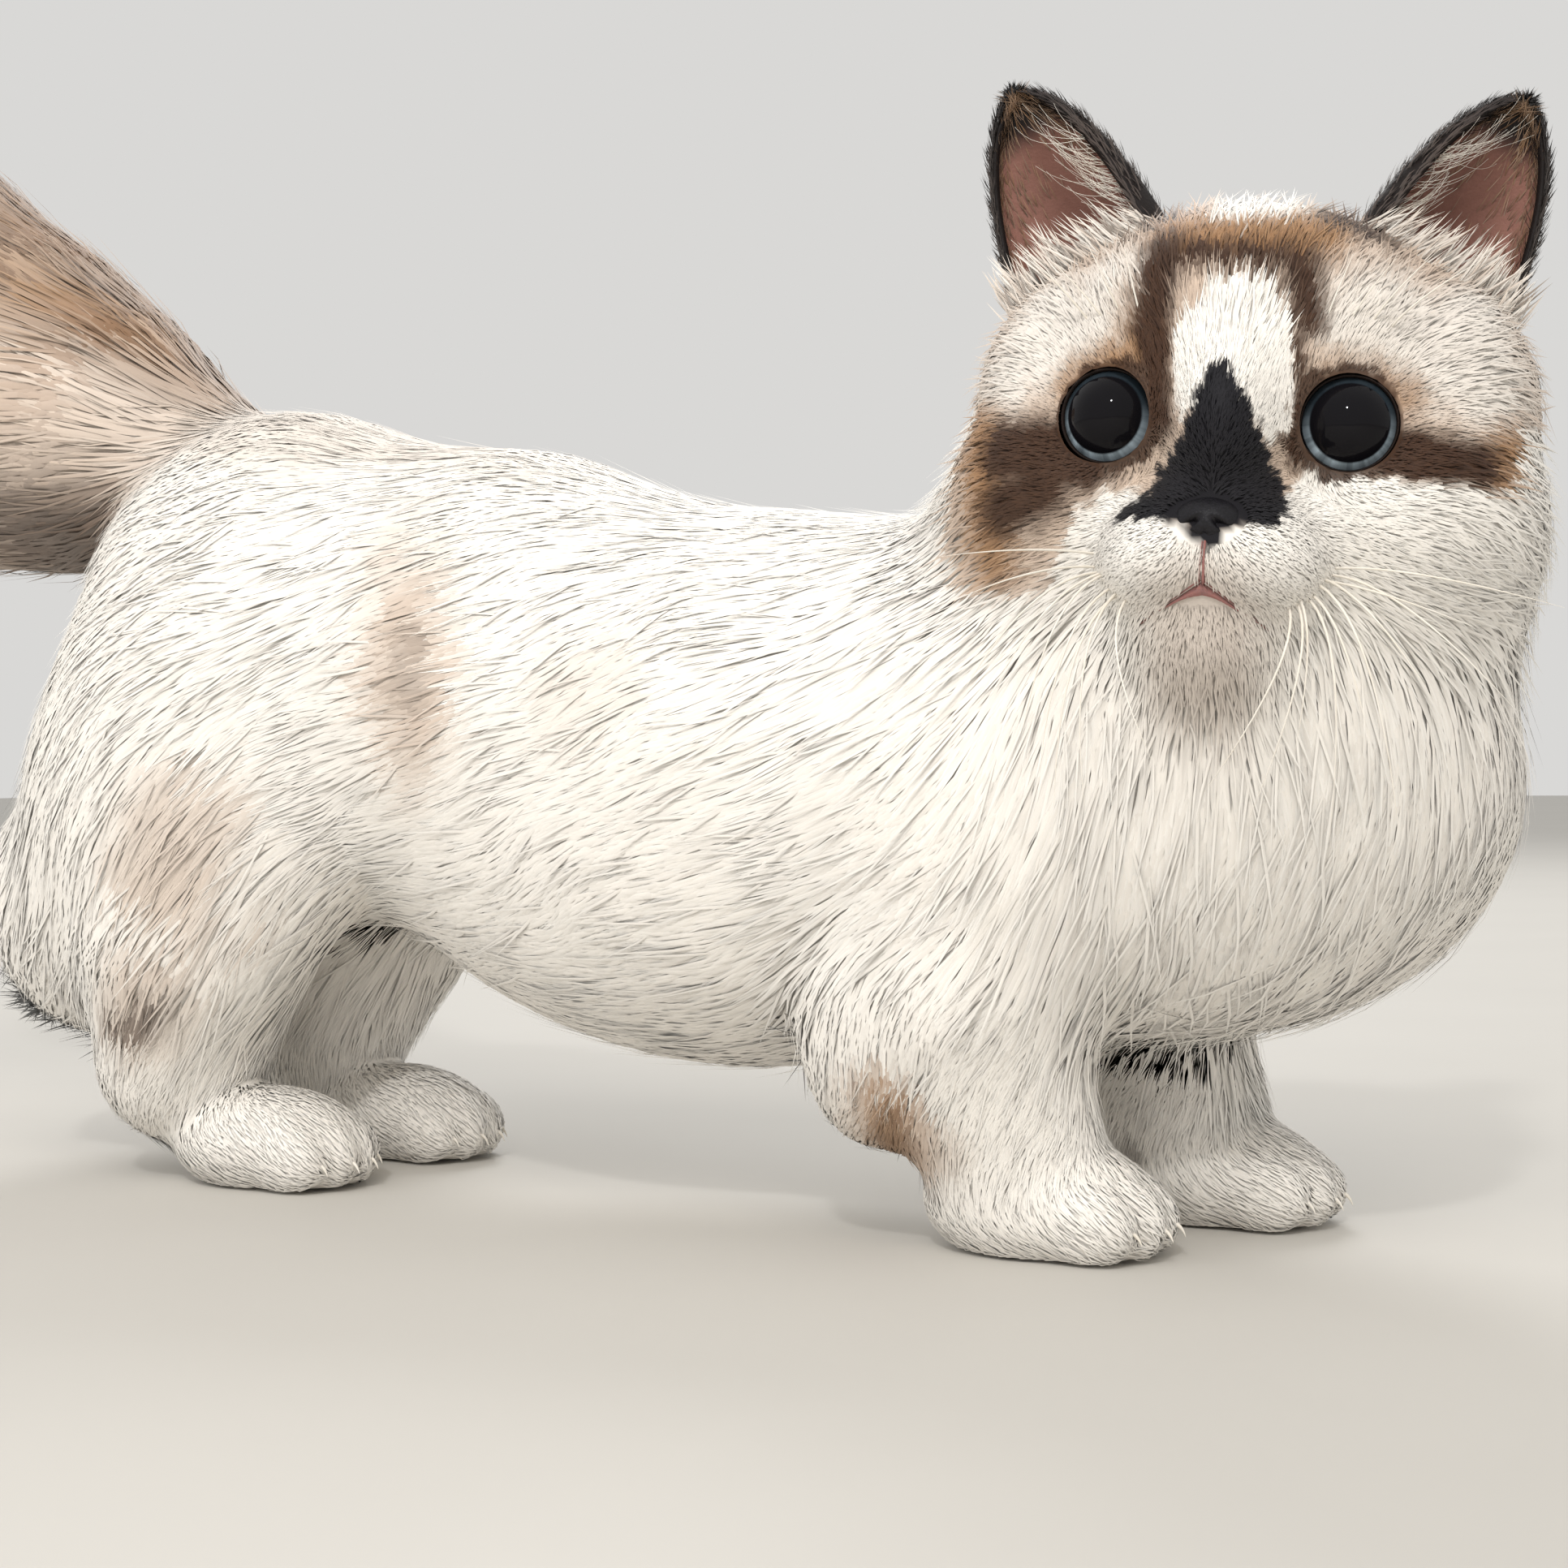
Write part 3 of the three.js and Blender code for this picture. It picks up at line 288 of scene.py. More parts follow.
@dataclass
class CatShape:
    """The cat's forms. A field gives the surface that the tips of the coat reach."""

    head: HeadFrame = field(default_factory=HeadFrame)
    rump: Egg = Egg((-118, 0, 126), (58, 55, 63))
    loin: Egg = Egg((-58, 0, 118), (66, 54, 58))
    ribs: Egg = Egg((12, 0, 100), (78, 58, 58))
    shoulders: Egg = Egg((74, 0, 100), (58, 58, 50))
    breast: Egg = Egg((113, 2, 93), (68, 57, 50))
    belly: Egg = Egg((8, 0, 74), (78, 45, 40))
    nape: Egg = Egg((102, -4, 124), (42, 42, 34))
    throat: Egg = Egg((130, -14, 116), (46, 46, 34))
    skull: Egg = Egg((-4, 0, 10), (46, 45, 40))
    brow: Egg = Egg((17, 0, 20), (24, 31, 22))
    temple: Egg = Egg((-4, 31, 10), (30, 24, 26))
    cheek: Egg = Egg((2, 26, -12), (37, 32.5, 29))
    bridge: Egg = Egg((33, 0, 0), (19, 11, 19))
    muzzle: Egg = Egg((35, 0, -22), (19, 20, 14))
    whisker_pad: Egg = Egg((42, 8.2, -24), (12.5, 11, 9))
    chin: Egg = Egg((37, 0, -37), (13, 12, 10))
    orbit: Egg = Egg((20, 21, 3), (16, 15, 14))
    upper_foreleg: Egg = Egg((80, 36, 86), (33, 26, 46))
    elbow: Joint = Joint((76, 33, 50), 25)
    wrist: Joint = Joint((84, 27, 24), 19)
    forepaw: Egg = Egg((90, 25, 10), (25, 17.5, 14))
    thigh: Egg = Egg((-126, 33, 92), (49, 28, 52))
    breeches: Egg = Egg((-164, 22, 68), (35, 24, 34))
    knee: Joint = Joint((-128, 31, 54), 26)
    hock: Joint = Joint((-136, 27, 30), 21)
    hindpaw: Egg = Egg((-111, 25, 10), (26, 17.5, 13.5))
    elbow_fringe: Egg = Egg((58, 38, 44), (15, 12, 22))
    fore_step: float = 20
    hind_step: float = 2
    toe_radius: float = 8.2
    toe_spread: tuple[float, ...] = (-10.5, -3.6, 3.6, 10.5)
    toe_reach: tuple[float, ...] = (15, 19, 19, 15)
    toe_height: float = 7.6
    trunk_blend: float = 22
    leg_blend: float = 12
    head_blend: float = 7
    jaw_blend: float = 15
    tail_axis: tuple[Triple, ...] = (
        (-134, 0, 164), (-163, 0, 179), (-195, 0, 191), (-226, 0, 203),
        (-256, 0, 221), (-279, 0, 247), (-290, 0, 278))
    tail_radii: tuple[float, ...] = (17, 26, 38, 47, 49, 42, 22)
    tail_bone: float = 9
    tail_steps: int = 32
    eye_at: Triple = (29, 21.2, 3)
    eye_radius: float = 10.4
    eye_turn: float = 9
    lid_height: float = 0.7
    nose_at: Triple = (50.5, 0, -17.6)
    nose_size: Triple = (5.5, 7, 5.2)

    def __post_init__(self) -> None:
        """Places both pairs of legs, the paws' toes, the tail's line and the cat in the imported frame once."""
        def legs(spec: Egg, step: float) -> list[Egg]:
            """The left form, a step forward, and the right one."""
            return [spec.moved(step), spec.mirrored()]

        def limbs(top: Joint, foot: Joint, step: float) -> list[Limb]:
            """The left limb, its foot nearly a step forward, and the right one."""
            return [Limb(top.placed(0.6 * step, 1), foot.placed(0.9 * step, 1)),
                    Limb(top.placed(0, -1), foot.placed(0, -1))]

        self.shoulder_eggs = legs(self.upper_foreleg, 0.3 * self.fore_step)
        self.thigh_eggs = legs(self.thigh, 0.3 * self.hind_step)
        self.breech_eggs = legs(self.breeches, 0.3 * self.hind_step)
        self.fringe_eggs = legs(self.elbow_fringe, 0.6 * self.fore_step)
        self.fore_limbs = limbs(self.elbow, self.wrist, self.fore_step)
        self.hind_limbs = limbs(self.knee, self.hock, self.hind_step)
        self.paws = legs(self.forepaw, self.fore_step) + legs(self.hindpaw, self.hind_step)
        self.toes = [
            [Egg((paw.at[0] + reach, paw.at[1] + dy, self.toe_height),
                 (self.toe_radius * 1.15, self.toe_radius * 0.72, self.toe_radius))
             for dy, reach in zip(self.toe_spread, self.toe_reach)]
            for paw in self.paws]
        self.tail_points, self.tail_ways = curve_points(list(self.tail_axis), self.tail_steps + 1)
        place = np.linspace(0, len(self.tail_radii) - 1, self.tail_steps + 1)
        low = np.minimum(place.astype(int), len(self.tail_radii) - 2)
        f = place - low
        radii = np.array(self.tail_radii, float)
        self.tail_thick = radii[low] + (radii[low + 1] - radii[low]) * f * f * (3 - 2 * f)
        self.head_eggs = [
            self.skull, self.brow, self.temple, self.temple.mirrored(), self.cheek, self.cheek.mirrored(),
            self.bridge, self.muzzle, self.whisker_pad, self.whisker_pad.mirrored(), self.chin,
            self.orbit, self.orbit.mirrored()]
        self.shift = self.packed_origin()

    def eye_centre(self, side: int) -> Array:
        """The middle of one eye in the head's frame, with the side's sign."""
        return np.array(self.eye_at) * (1, side, 1)

    def eye_way(self, side: int) -> Array:
        """The way one eye looks in the head's frame."""
        turn = math.radians(self.eye_turn)
        return np.array([math.cos(turn), side * math.sin(turn), 0])

    def packed_origin(self) -> Array:
        """Where the cat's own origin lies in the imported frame, from the middles of the eyes, in millimetres."""
        found = []
        for name, side in (("eye_left", 1), ("eye_right", -1)):
            low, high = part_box(name)
            found.append(np.array((low + high) / 2) / MM - self.head.outside(self.eye_centre(side)))
        return np.mean(found, axis=0)

    def packed(self, p: Array) -> Array:
        """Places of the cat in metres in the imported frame."""
        return (p + self.shift) * MM

    def packed_head(self, q: Array) -> Array:
        """Places of the head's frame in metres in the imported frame."""
        return self.packed(self.head.outside(q))

    def head_surface(self, q: Array) -> Array:
        """The head's field, for places in the head's frame."""
        return blend(self.head_blend, [egg.distance(q) for egg in self.head_eggs])

    def tail_surface(self, p: Array) -> tuple[Array, Array]:
        """The tail's field, and the share of its length nearest to each place.

        Args:
            p: Places in the cat's frame.

        Returns:
            The field, and shares from 0 at the rump to 1 at the tip.
        """
        best = np.full(len(p), 1e9)
        share = np.zeros(len(p))
        for i, (q, r) in enumerate(zip(self.tail_points, self.tail_thick)):
            d = np.linalg.norm(p - q, axis=1) - r
            share = np.where(d < best, i / self.tail_steps, share)
            best = np.minimum(best, d)
        return best, share

    def parts(self, p: Array) -> tuple[Array, Array]:
        """The surface of the coat's tips.

        Args:
            p: Places in the cat's frame.

        Returns:
            The field there, and the field of each part alone.
        """
        q = self.head.inside(p)
        head = self.head_surface(q)
        neck = blend(self.trunk_blend, [e.distance(p) for e in (self.nape, self.throat)])
        trunk_eggs = (self.rump, self.loin, self.ribs, self.shoulders, self.breast, self.belly)
        trunk = blend(self.trunk_blend, [e.distance(p) for e in trunk_eggs])
        shoulders, thighs, breeches, fore, hind, fringe = (
            [form.distance(p) for form in forms]
            for forms in (self.shoulder_eggs, self.thigh_eggs, self.breech_eggs, self.fore_limbs, self.hind_limbs,
                          self.fringe_eggs))
        paws = [blend(3, [paw.distance(p), *(toe.distance(p) for toe in toes)])
                for paw, toes in zip(self.paws, self.toes)]
        tail = self.tail_surface(p)[0]
        total = soft_min(trunk, neck, self.trunk_blend)
        total = blend(self.leg_blend, [total, *shoulders, *thighs])
        jaw = self.trunk_blend - (self.trunk_blend - self.jaw_blend) * smooth(q[:, 0], -8, 24)
        total = soft_min(total, head, jaw)
        total = blend(self.leg_blend, [total, *fore, *hind, *breeches, *fringe])
        total = blend(5, [total, *paws])
        total = soft_min(total, tail, 10)
        low = np.minimum.reduce
        legs = [low([*fore, *fringe]), low([*thighs, *breeches]), low(hind), low(paws)]
        return total, np.stack([head, neck, trunk, *legs, tail])

    def shares(self, alone: Array) -> Array:
        """How much each place belongs to each part, from the parts' own fields."""
        weight = np.exp(-(alone - alone.min(axis=0)) / 4)
        return weight / weight.sum(axis=0)

    def depth(self, p: Array, share: Array) -> Array:
        """How far the skin lies inside the tips of the coat, in millimetres.

        Args:
            p: Places in the cat's frame.
            share: The parts' shares there.

        Returns:
            One depth each.
        """
        forward = self.head.inside(p)[:, 0]
        head = 0.5 + 0.25 * smooth(24 - forward, 0, 22)
        foot = 0.55 + 0.15 * smooth(p[:, 2], 14, 45)
        along = self.tail_surface(p)[1]
        thick = np.interp(along, np.linspace(0, 1, self.tail_steps + 1), self.tail_thick)
        tail = 0.03 * (thick - self.tail_bone)
        full = np.full(len(p), 0.65)
        each = np.stack([head, full + 0.15, full, foot, full, foot, np.full(len(p), 0.55), tail])
        return (each * share).sum(axis=0)

    def tips(self, p: Array) -> Array:
        """The field of the coat's tips."""
        return self.parts(p)[0]

    def skin(self, p: Array) -> Array:
        """The field of the skin under the coat, flat under the paws."""
        total, alone = self.parts(p)
        inner = total + self.depth(p, self.shares(alone))
        q = self.head.inside(p)
        for side in (1, -1):
            lid = np.linalg.norm(q - self.eye_centre(side), axis=1) - (self.eye_radius + self.lid_height)
            inner = soft_min(inner, lid, 2.5)
        return np.maximum(inner, 0.9 - p[:, 2])

    def mouth_lines(self) -> list[Array]:
        """Points in the head's frame down the crease under the nose, and from its foot out to each corner."""
        foot = np.array([53.5, 0, -28.0])
        lips = [arc(foot, np.array([51.5, side * 4.8, -30.6]), np.array([45.5, side * 11.6, -35.6]), 14)
                for side in (1, -1)]
        return [np.linspace((51.5, 0, -21.5), foot, 8), *lips]

    def mouth_spots(self) -> tuple[Array, Array]:
        """Places along the lips in the head's frame, and how wide the lips are there."""
        crease, left, right = self.mouth_lines()
        run = np.linspace(0, 1, len(left))
        wide = 0.9 - 0.6 * run + 1.3 * np.exp(-(run * 12 / 3.6) ** 2)
        lower = np.array([-0.3, 0, -1]) * (wide - 1.0)[:, None]
        widths = np.concatenate([np.full(len(crease), 1.1), wide, wide])
        return np.vstack([crease, left + lower, right + lower]), widths


# Markings: white below, a cream and tan cap on the head with a black arrow, a few tan patches on the body

def outline_distance(q: Array, outline: list[tuple[float, float]]) -> Array:
    """Signed distance to a closed outline in a plane, negative inside."""
    best = np.full(len(q), 1e9)
    inside = np.zeros(len(q), bool)
    for (ax, ay), (bx, by) in zip(outline, outline[1:] + outline[:1]):
        a, ab = np.array([ax, ay]), np.array([bx - ax, by - ay])
        t = np.clip((q - a) @ ab / (ab @ ab), 0, 1)
        best = np.minimum(best, np.linalg.norm(q - a - t[:, None] * ab, axis=1))
        crosses = (ay > q[:, 1]) != (by > q[:, 1])
        x = ax + (q[:, 1] - ay) * (bx - ax) / (by - ay if by != ay else 1e-9)
        inside ^= crosses & (q[:, 0] < x)
    return np.where(inside, -best, best)


@dataclass(frozen=True)
class Patch:
    """A soft-edged band of colour on the face, seen from the front."""

    start: tuple[float, float]
    end: tuple[float, float]
    radius: float
    edge: float = 2.0

    def amount(self, q: Array) -> Array:
        """How much of the patch each place of the face has."""
        a = np.array(self.start)
        ab = np.array(self.end) - a
        t = np.clip((q - a) @ ab / max(ab @ ab, 1e-9), 0, 1)
        d = np.linalg.norm(q - a - t[:, None] * ab, axis=1) - self.radius
        return smooth(-d, -self.edge, self.edge)


@dataclass
class Markings:
    """Where the coat is tan, brown or black. Face outlines are (left, up) in the head's frame."""

    shape: CatShape
    arrow: Pairs = (
        (0.2, 13.8), (4.7, 7.9), (7.2, 2.3), (8.9, -2.6), (12.4, -9.9), (13.8, -16.6), (11.4, -18.6),
        (8.3, -16.8), (5.6, -17.6), (3.4, -20.4), (0.6, -22.6), (-2.6, -20.4), (-4.8, -17.9), (-9.6, -17.2),
        (-18.5, -18.2), (-17, -14.2), (-12.4, -11.6), (-11.4, -6.6), (-6.4, -1.4), (-5.0, 2.8),
        (-3.6, 7.6), (-2.6, 11.3))
    blaze: Pairs = (
        (-6, 27.1), (-3, 30.6), (1.6, 31.4), (6.5, 30.0), (9.2, 27.2), (11.6, 20.7), (12.7, 14.8), (12.6, 8.9),
        (12.2, 4.2), (9.6, -2.4), (7.2, 2.0), (0, 8), (-6.6, 2.0), (-9.0, 10.5), (-10.5, 17.9), (-8.5, 22.7))
    cap_edge: Pairs = (
        (-60, -33), (-45, -33), (-35, -31.5), (-30.2, -23.2), (-28.3, -17.8), (-25.9, -14.7), (-21.9, -12.1),
        (-16.5, -10.7), (-12.4, -12.3), (-8, -16), (0, -20), (8, -16), (12.6, -11.3), (13.7, -7.9),
        (18.1, -5.4), (25.2, -6.4), (32.1, -7.3), (41.1, -7.0), (48.9, -7.6), (54.7, -9.2), (60, -8))
    dark_bands: tuple[Patch, ...] = (
        Patch((-14.5, 36), (-15, 20), 4.6, 3.0), Patch((-14, 18), (-12, 2), 4.0, 2.6),
        Patch((12, 33), (14.2, 22), 3.8, 2.8), Patch((12.8, 18), (13.4, -4), 1.6, 1.4),
        Patch((-42, -4), (-26, -5), 7.5, 3.5), Patch((-34, -11), (-42, -15), 6.5, 4.0),
        Patch((31, -2), (46, -4), 5.6, 2.6), Patch((-12, 35), (11, 34.5), 3.4, 2.8),
        Patch((-26, 46), (-19, 48), 5, 3), Patch((17, 47), (25, 45), 5, 3))
    orange_bands: tuple[Patch, ...] = (
        Patch((-14, 40), (14, 40), 5.0, 3.5), Patch((-22, 13.5), (-30, 10), 4.5, 3.0),
        Patch((22, 13.5), (32, 10), 4.0, 3.0), Patch((-50, 2), (-44, -26), 5.0, 4.0),
        Patch((52, 3), (50, -6), 4.0, 3.0), Patch((-19, 27), (-17, 16), 4.0, 3.5))
    cream_bands: tuple[Patch, ...] = (
        Patch((-38, 17), (-24, 28), 9, 6), Patch((26, 24), (40, 17), 10, 6), Patch((-46, 12), (-38, 26), 8, 5),
        Patch((47, 12), (42, 26), 8, 5), Patch((20, 20), (24, 14), 4, 3))
    # The chin's tint, partly its own pinkish colour and partly painted shade under the head, and painted shade along
    # the mouth's two lines.
    chin_tint_and_shade: tuple[Patch, ...] = (
        Patch((0, -36), (0, -50), 11, 7), Patch((-9, -34), (0, -28), 1.2, 2.5), Patch((0, -28), (9, -34), 1.2, 2.5))

    def face(self, q: Array) -> Array:
        """Tan, brown and black on the head, with a pinkish tint and painted shade on the chin and painted shade along
        the mouth's lines.

        Args:
            q: Places in the head's frame.

        Returns:
            Three columns with the share of each colour.
        """
        side = q[:, 1:3].copy()
        side[:, 0] += 0.8 * ripple(q, 5, 3) + 0.45 * ripple(q, 2.2, 4)
        side[:, 1] += 0.8 * ripple(q, 5, 5) + 0.45 * ripple(q, 2.2, 6)
        front = smooth(q[:, 0], 5, 16)
        edge = np.array(self.cap_edge)
        line = np.interp(side[:, 0], edge[:, 0], edge[:, 1])
        behind = smooth(-q[:, 0], -24, -8)
        cap = smooth(side[:, 1] - line * (1 - behind) - 6 * behind, -1.4, 1.4)
        cap = cap * smooth(q[:, 0] + 0.7 * np.maximum(q[:, 2], 0), -34, -14)
        blaze = smooth(-outline_distance(side, list(self.blaze)), -0.8, 0.8) * front
        arrow = smooth(-outline_distance(side, list(self.arrow)), -0.6, 0.6) * front
        crown = Patch((-4, 47), (6, 48), 4.0, 2).amount(side) * smooth(q[:, 0], -8, 4)

        def strongest(patches: tuple[Patch, ...]) -> Array:
            """The most that any of some bands gives each place."""
            return np.maximum.reduce([patch.amount(side) for patch in patches])

        cream = strongest(self.cream_bands)
        orange = strongest(self.orange_bands)
        dark = strongest(self.dark_bands) * smooth(q[:, 0], -4, 12)
        rims = np.zeros(len(q))
        for s in (1, -1):
            away = np.linalg.norm(side - self.shape.eye_centre(s)[1:], axis=1)
            rims = np.maximum(rims, smooth(12.0 - away, 0, 1.6) * front)
        keep = cap * (1 - np.maximum(blaze, crown))
        tan = keep * np.clip(0.62 - 0.48 * cream + 0.38 * orange, 0, 1)
        # Painted shade with some real tint: the chin and the mouth's lines darkened in tan and brown.
        chin = strongest(self.chin_tint_and_shade) * front
        tan = np.maximum(tan, 0.32 * chin)
        brown = np.maximum(keep * np.maximum(dark, 0.16 * orange), rims * 0.95) * (1 - blaze)
        brown = np.maximum(brown, 0.2 * chin)
        return np.stack([tan, brown, arrow], axis=1)

    def body(self, p: Array) -> Array:
        """Tan, brown and black on the body, legs and tail.

        Args:
            p: Places in the cat's frame.

        Returns:
            Three columns with the share of each colour.
        """
        tan = np.zeros(len(p))
        brown = np.zeros(len(p))
        wobble = p + 5 * ripples(p, 24, 8)
        for egg, strength in TAN_PATCHES:
            tan = np.maximum(tan, strength * smooth(-egg.distance(wobble), -9, 8))
        for egg, strength in BROWN_PATCHES:
            brown = np.maximum(brown, strength * smooth(-egg.distance(0.7 * p + 0.3 * wobble), -2.5, 2.5))
        tail, share = self.shape.tail_surface(p)
        on_tail = smooth(12 - tail, 0, 8) * smooth(share, 0.02, 0.2)
        rise = (p - self.shape.tail_points[np.round(share * self.shape.tail_steps).astype(int)])[:, 2]
        upper = smooth(rise, 4, 30)
        under = smooth(-rise, 6, 26) * smooth(0.55 - share, 0, 0.25)
        tan = np.maximum(tan, on_tail * (0.5 + 0.3 * upper + 0.12 * ripple(p, 40, 11)))
        brown = np.maximum(brown, on_tail * np.clip(0.32 * upper + 0.15 * ripple(p, 30, 12), 0, 1))
        brown = np.maximum(brown, 0.75 * on_tail * under)
        return np.stack([tan, brown, np.zeros(len(p))], axis=1)

    def at(self, p: Array, head_share: Array) -> Array:
        """Tan, brown and black anywhere, mixed from the head to the body."""
        share = head_share[:, None]
        total = np.zeros((len(p), 3))
        near = head_share > 0.01
        total[near] += share[near] * self.face(self.shape.head.inside(p[near]))
        rest = head_share < 0.99
        total[rest] += (1 - share)[rest] * self.body(p[rest])
        return np.clip(total, 0, 1)


TAN_PATCHES: tuple[tuple[Egg, float], ...] = (
    (Egg((-62, -50, 146), (9, 16, 12)), 0.3),
    (Egg((-55, -53, 131), (10, 16, 14)), 0.5),
    (Egg((-50, -54, 111), (9, 16, 16)), 0.5),
    (Egg((-52, -52, 97), (8, 14, 8)), 0.3),
    (Egg((-8, -54, 116), (12, 18, 12)), 0.14),
    (Egg((-113, -60, 84), (17, 16, 12)), 0.38),
    (Egg((-120, -58, 70), (17, 16, 12)), 0.42),
    (Egg((-110, -56, 58), (11, 14, 9)), 0.34),
    (Egg((-90, 0, 182), (76, 46, 14)), 0.2),
    (Egg((65, -47, 21), (13, 16, 11)), 0.9),
    (Egg((-131, -54, 39), (13, 16, 8)), 0.4),
    (Egg((-52, 54, 132), (18, 18, 22)), 0.5),
    (Egg((-122, 58, 80), (14, 16, 16)), 0.45),
)
BROWN_PATCHES: tuple[tuple[Egg, float], ...] = (
    (Egg((-53, -54, 121), (3.5, 16, 12)), 0.3),
    (Egg((-133, -54, 37), (10, 14, 2.8)), 0.7),
    (Egg((-141, 24, 31), (6, 8, 7)), 0.3),
    (Egg((65, -47, 21), (7, 14, 7)), 0.35),
    (Egg((97, 12, 15), (4, 8, 3)), 0.5),
    (Egg((-174, -26, 164), (16, 14, 8)), 0.5),
)


# Finishes

def linear(code: str) -> tuple[float, float, float, float]:
    """An sRGB colour such as "#F1EFEA" in Blender's linear values."""
    values = [int(code[i:i + 2], 16) / 255 for i in (1, 3, 5)]
    return (*[v / 12.92 if v <= 0.04045 else ((v + 0.055) / 1.055) ** 2.4 for v in values], 1.0)


def add_node(tree: NodeTree, kind: str, inputs: Optional[dict] = None, **settings: object) -> Node:
    """Adds a node with its settings and its inputs.

    Args:
        tree: The tree that gets the node.
        kind: Blender's name for the node's type.
        inputs: For each input, by name or number, a value or the output that feeds it.
        **settings: The node's own properties.

    Returns:
        The new node.
    """
    node = tree.nodes.new(kind)
    for name, value in settings.items():
        setattr(node, name, value)
    for name, value in (inputs or {}).items():
        if isinstance(value, NodeSocket):
            tree.links.new(value, node.inputs[name])
        else:
            node.inputs[name].default_value = value
    return node


# What makes a mix node take colours: its inputs 6 and 7, and its output 2.
COLOUR_MIX = {"data_type": "RGBA"}


class Finish:
    """A material with a Principled shader whose inputs its own class gives."""

    name: str = "finish"

    def build(self) -> Material:
        """Makes the material."""
        material = bpy.data.materials.new(self.name)
        material.use_nodes = True
        tree = material.node_tree
        tree.nodes.clear()
        shader = add_node(tree, "ShaderNodeBsdfPrincipled", self.inputs(tree))
        add_node(tree, "ShaderNodeOutputMaterial", {"Surface": shader.outputs[0]})
        return material

    def inputs(self, tree: NodeTree) -> dict[str, object]:
        """The shader's colour, gloss and bump."""
        raise NotImplementedError


@dataclass(frozen=True)
class CoatFinish(Finish):
    """Cat's hair: keratin with a scaly surface, so the gloss is broad and faint."""

    name: str = "cat_hair"
    white: tuple[str, str] = ("#EFE9E0", "#FAF7F1")
    tan: tuple[str, str] = ("#8C6444", "#C39A70")
    brown: tuple[str, str] = ("#2A1B13", "#513726")
    black: tuple[str, str] = ("#0C0B0F", "#1B1A20")
    roughness: float = 0.62
    sheen: float = 0.06

    def colour(self, tree: NodeTree, along: object, strand: object) -> NodeSocket:
        """The coat's colour from its markings, from root to tip and from hair to hair.

        Args:
            tree: The material's nodes.
            along: The share of the way from root to tip.
            strand: A value of its own for each hair.

        Returns:
            The output that gives the colour.
        """
        marks = add_node(tree, "ShaderNodeAttribute", attribute_name="marking")
        split = add_node(tree, "ShaderNodeSeparateColor", {0: marks.outputs["Color"]})
        tone, *marked = [
            add_node(tree, "ShaderNodeMix", {0: along, 6: linear(root), 7: linear(tip)}, **COLOUR_MIX).outputs[2]
            for root, tip in (self.white, self.tan, self.brown, self.black)]
        for share, mark in zip(split.outputs, marked):
            tone = add_node(tree, "ShaderNodeMix", {0: share, 6: tone, 7: mark}, **COLOUR_MIX).outputs[2]
        shade = add_node(tree, "ShaderNodeMapRange", {"Value": strand, "To Min": 0.9, "To Max": 1.0}).outputs[0]
        grey = add_node(tree, "ShaderNodeCombineColor", {0: shade, 1: shade, 2: shade}).outputs[0]
        return add_node(tree, "ShaderNodeMix", {0: 1.0, 6: tone, 7: grey}, blend_type="MULTIPLY",
                        **COLOUR_MIX).outputs[2]

    def inputs(self, tree: NodeTree) -> dict[str, object]:
        """Colours each tuft by where it grows."""
        along = add_node(tree, "ShaderNodeAttribute", attribute_name="along").outputs["Fac"]
        strand = add_node(tree, "ShaderNodeAttribute", attribute_name="strand").outputs["Fac"]
        return {"Base Color": self.colour(tree, along, strand), "Roughness": self.roughness,
                "Specular IOR Level": 0.3, "Sheen Weight": self.sheen, "Sheen Roughness": 0.5}


@dataclass(frozen=True)
class SkinFinish(CoatFinish):
    """Skin under the coat: shows only between the hairs, in the coat's own colours over a fine nap."""

    name: str = "skin_under_coat"

    def inputs(self, tree: NodeTree) -> dict[str, object]:
        """Takes the coat's markings, with a nap 0.8 mm apart."""
        spot = add_node(tree, "ShaderNodeTexCoord").outputs["Object"]
        nap = add_node(tree, "ShaderNodeTexNoise", {"Vector": spot, "Scale": 1250.0, "Detail": 3.0}).outputs[0]
        bump = add_node(tree, "ShaderNodeBump", {"Height": nap, "Strength": 0.15, "Distance": 0.0003})
        return {"Base Color": self.colour(tree, 0.5, nap), "Normal": bump.outputs[0], "Roughness": 0.7,
                "Specular IOR Level": 0.25}


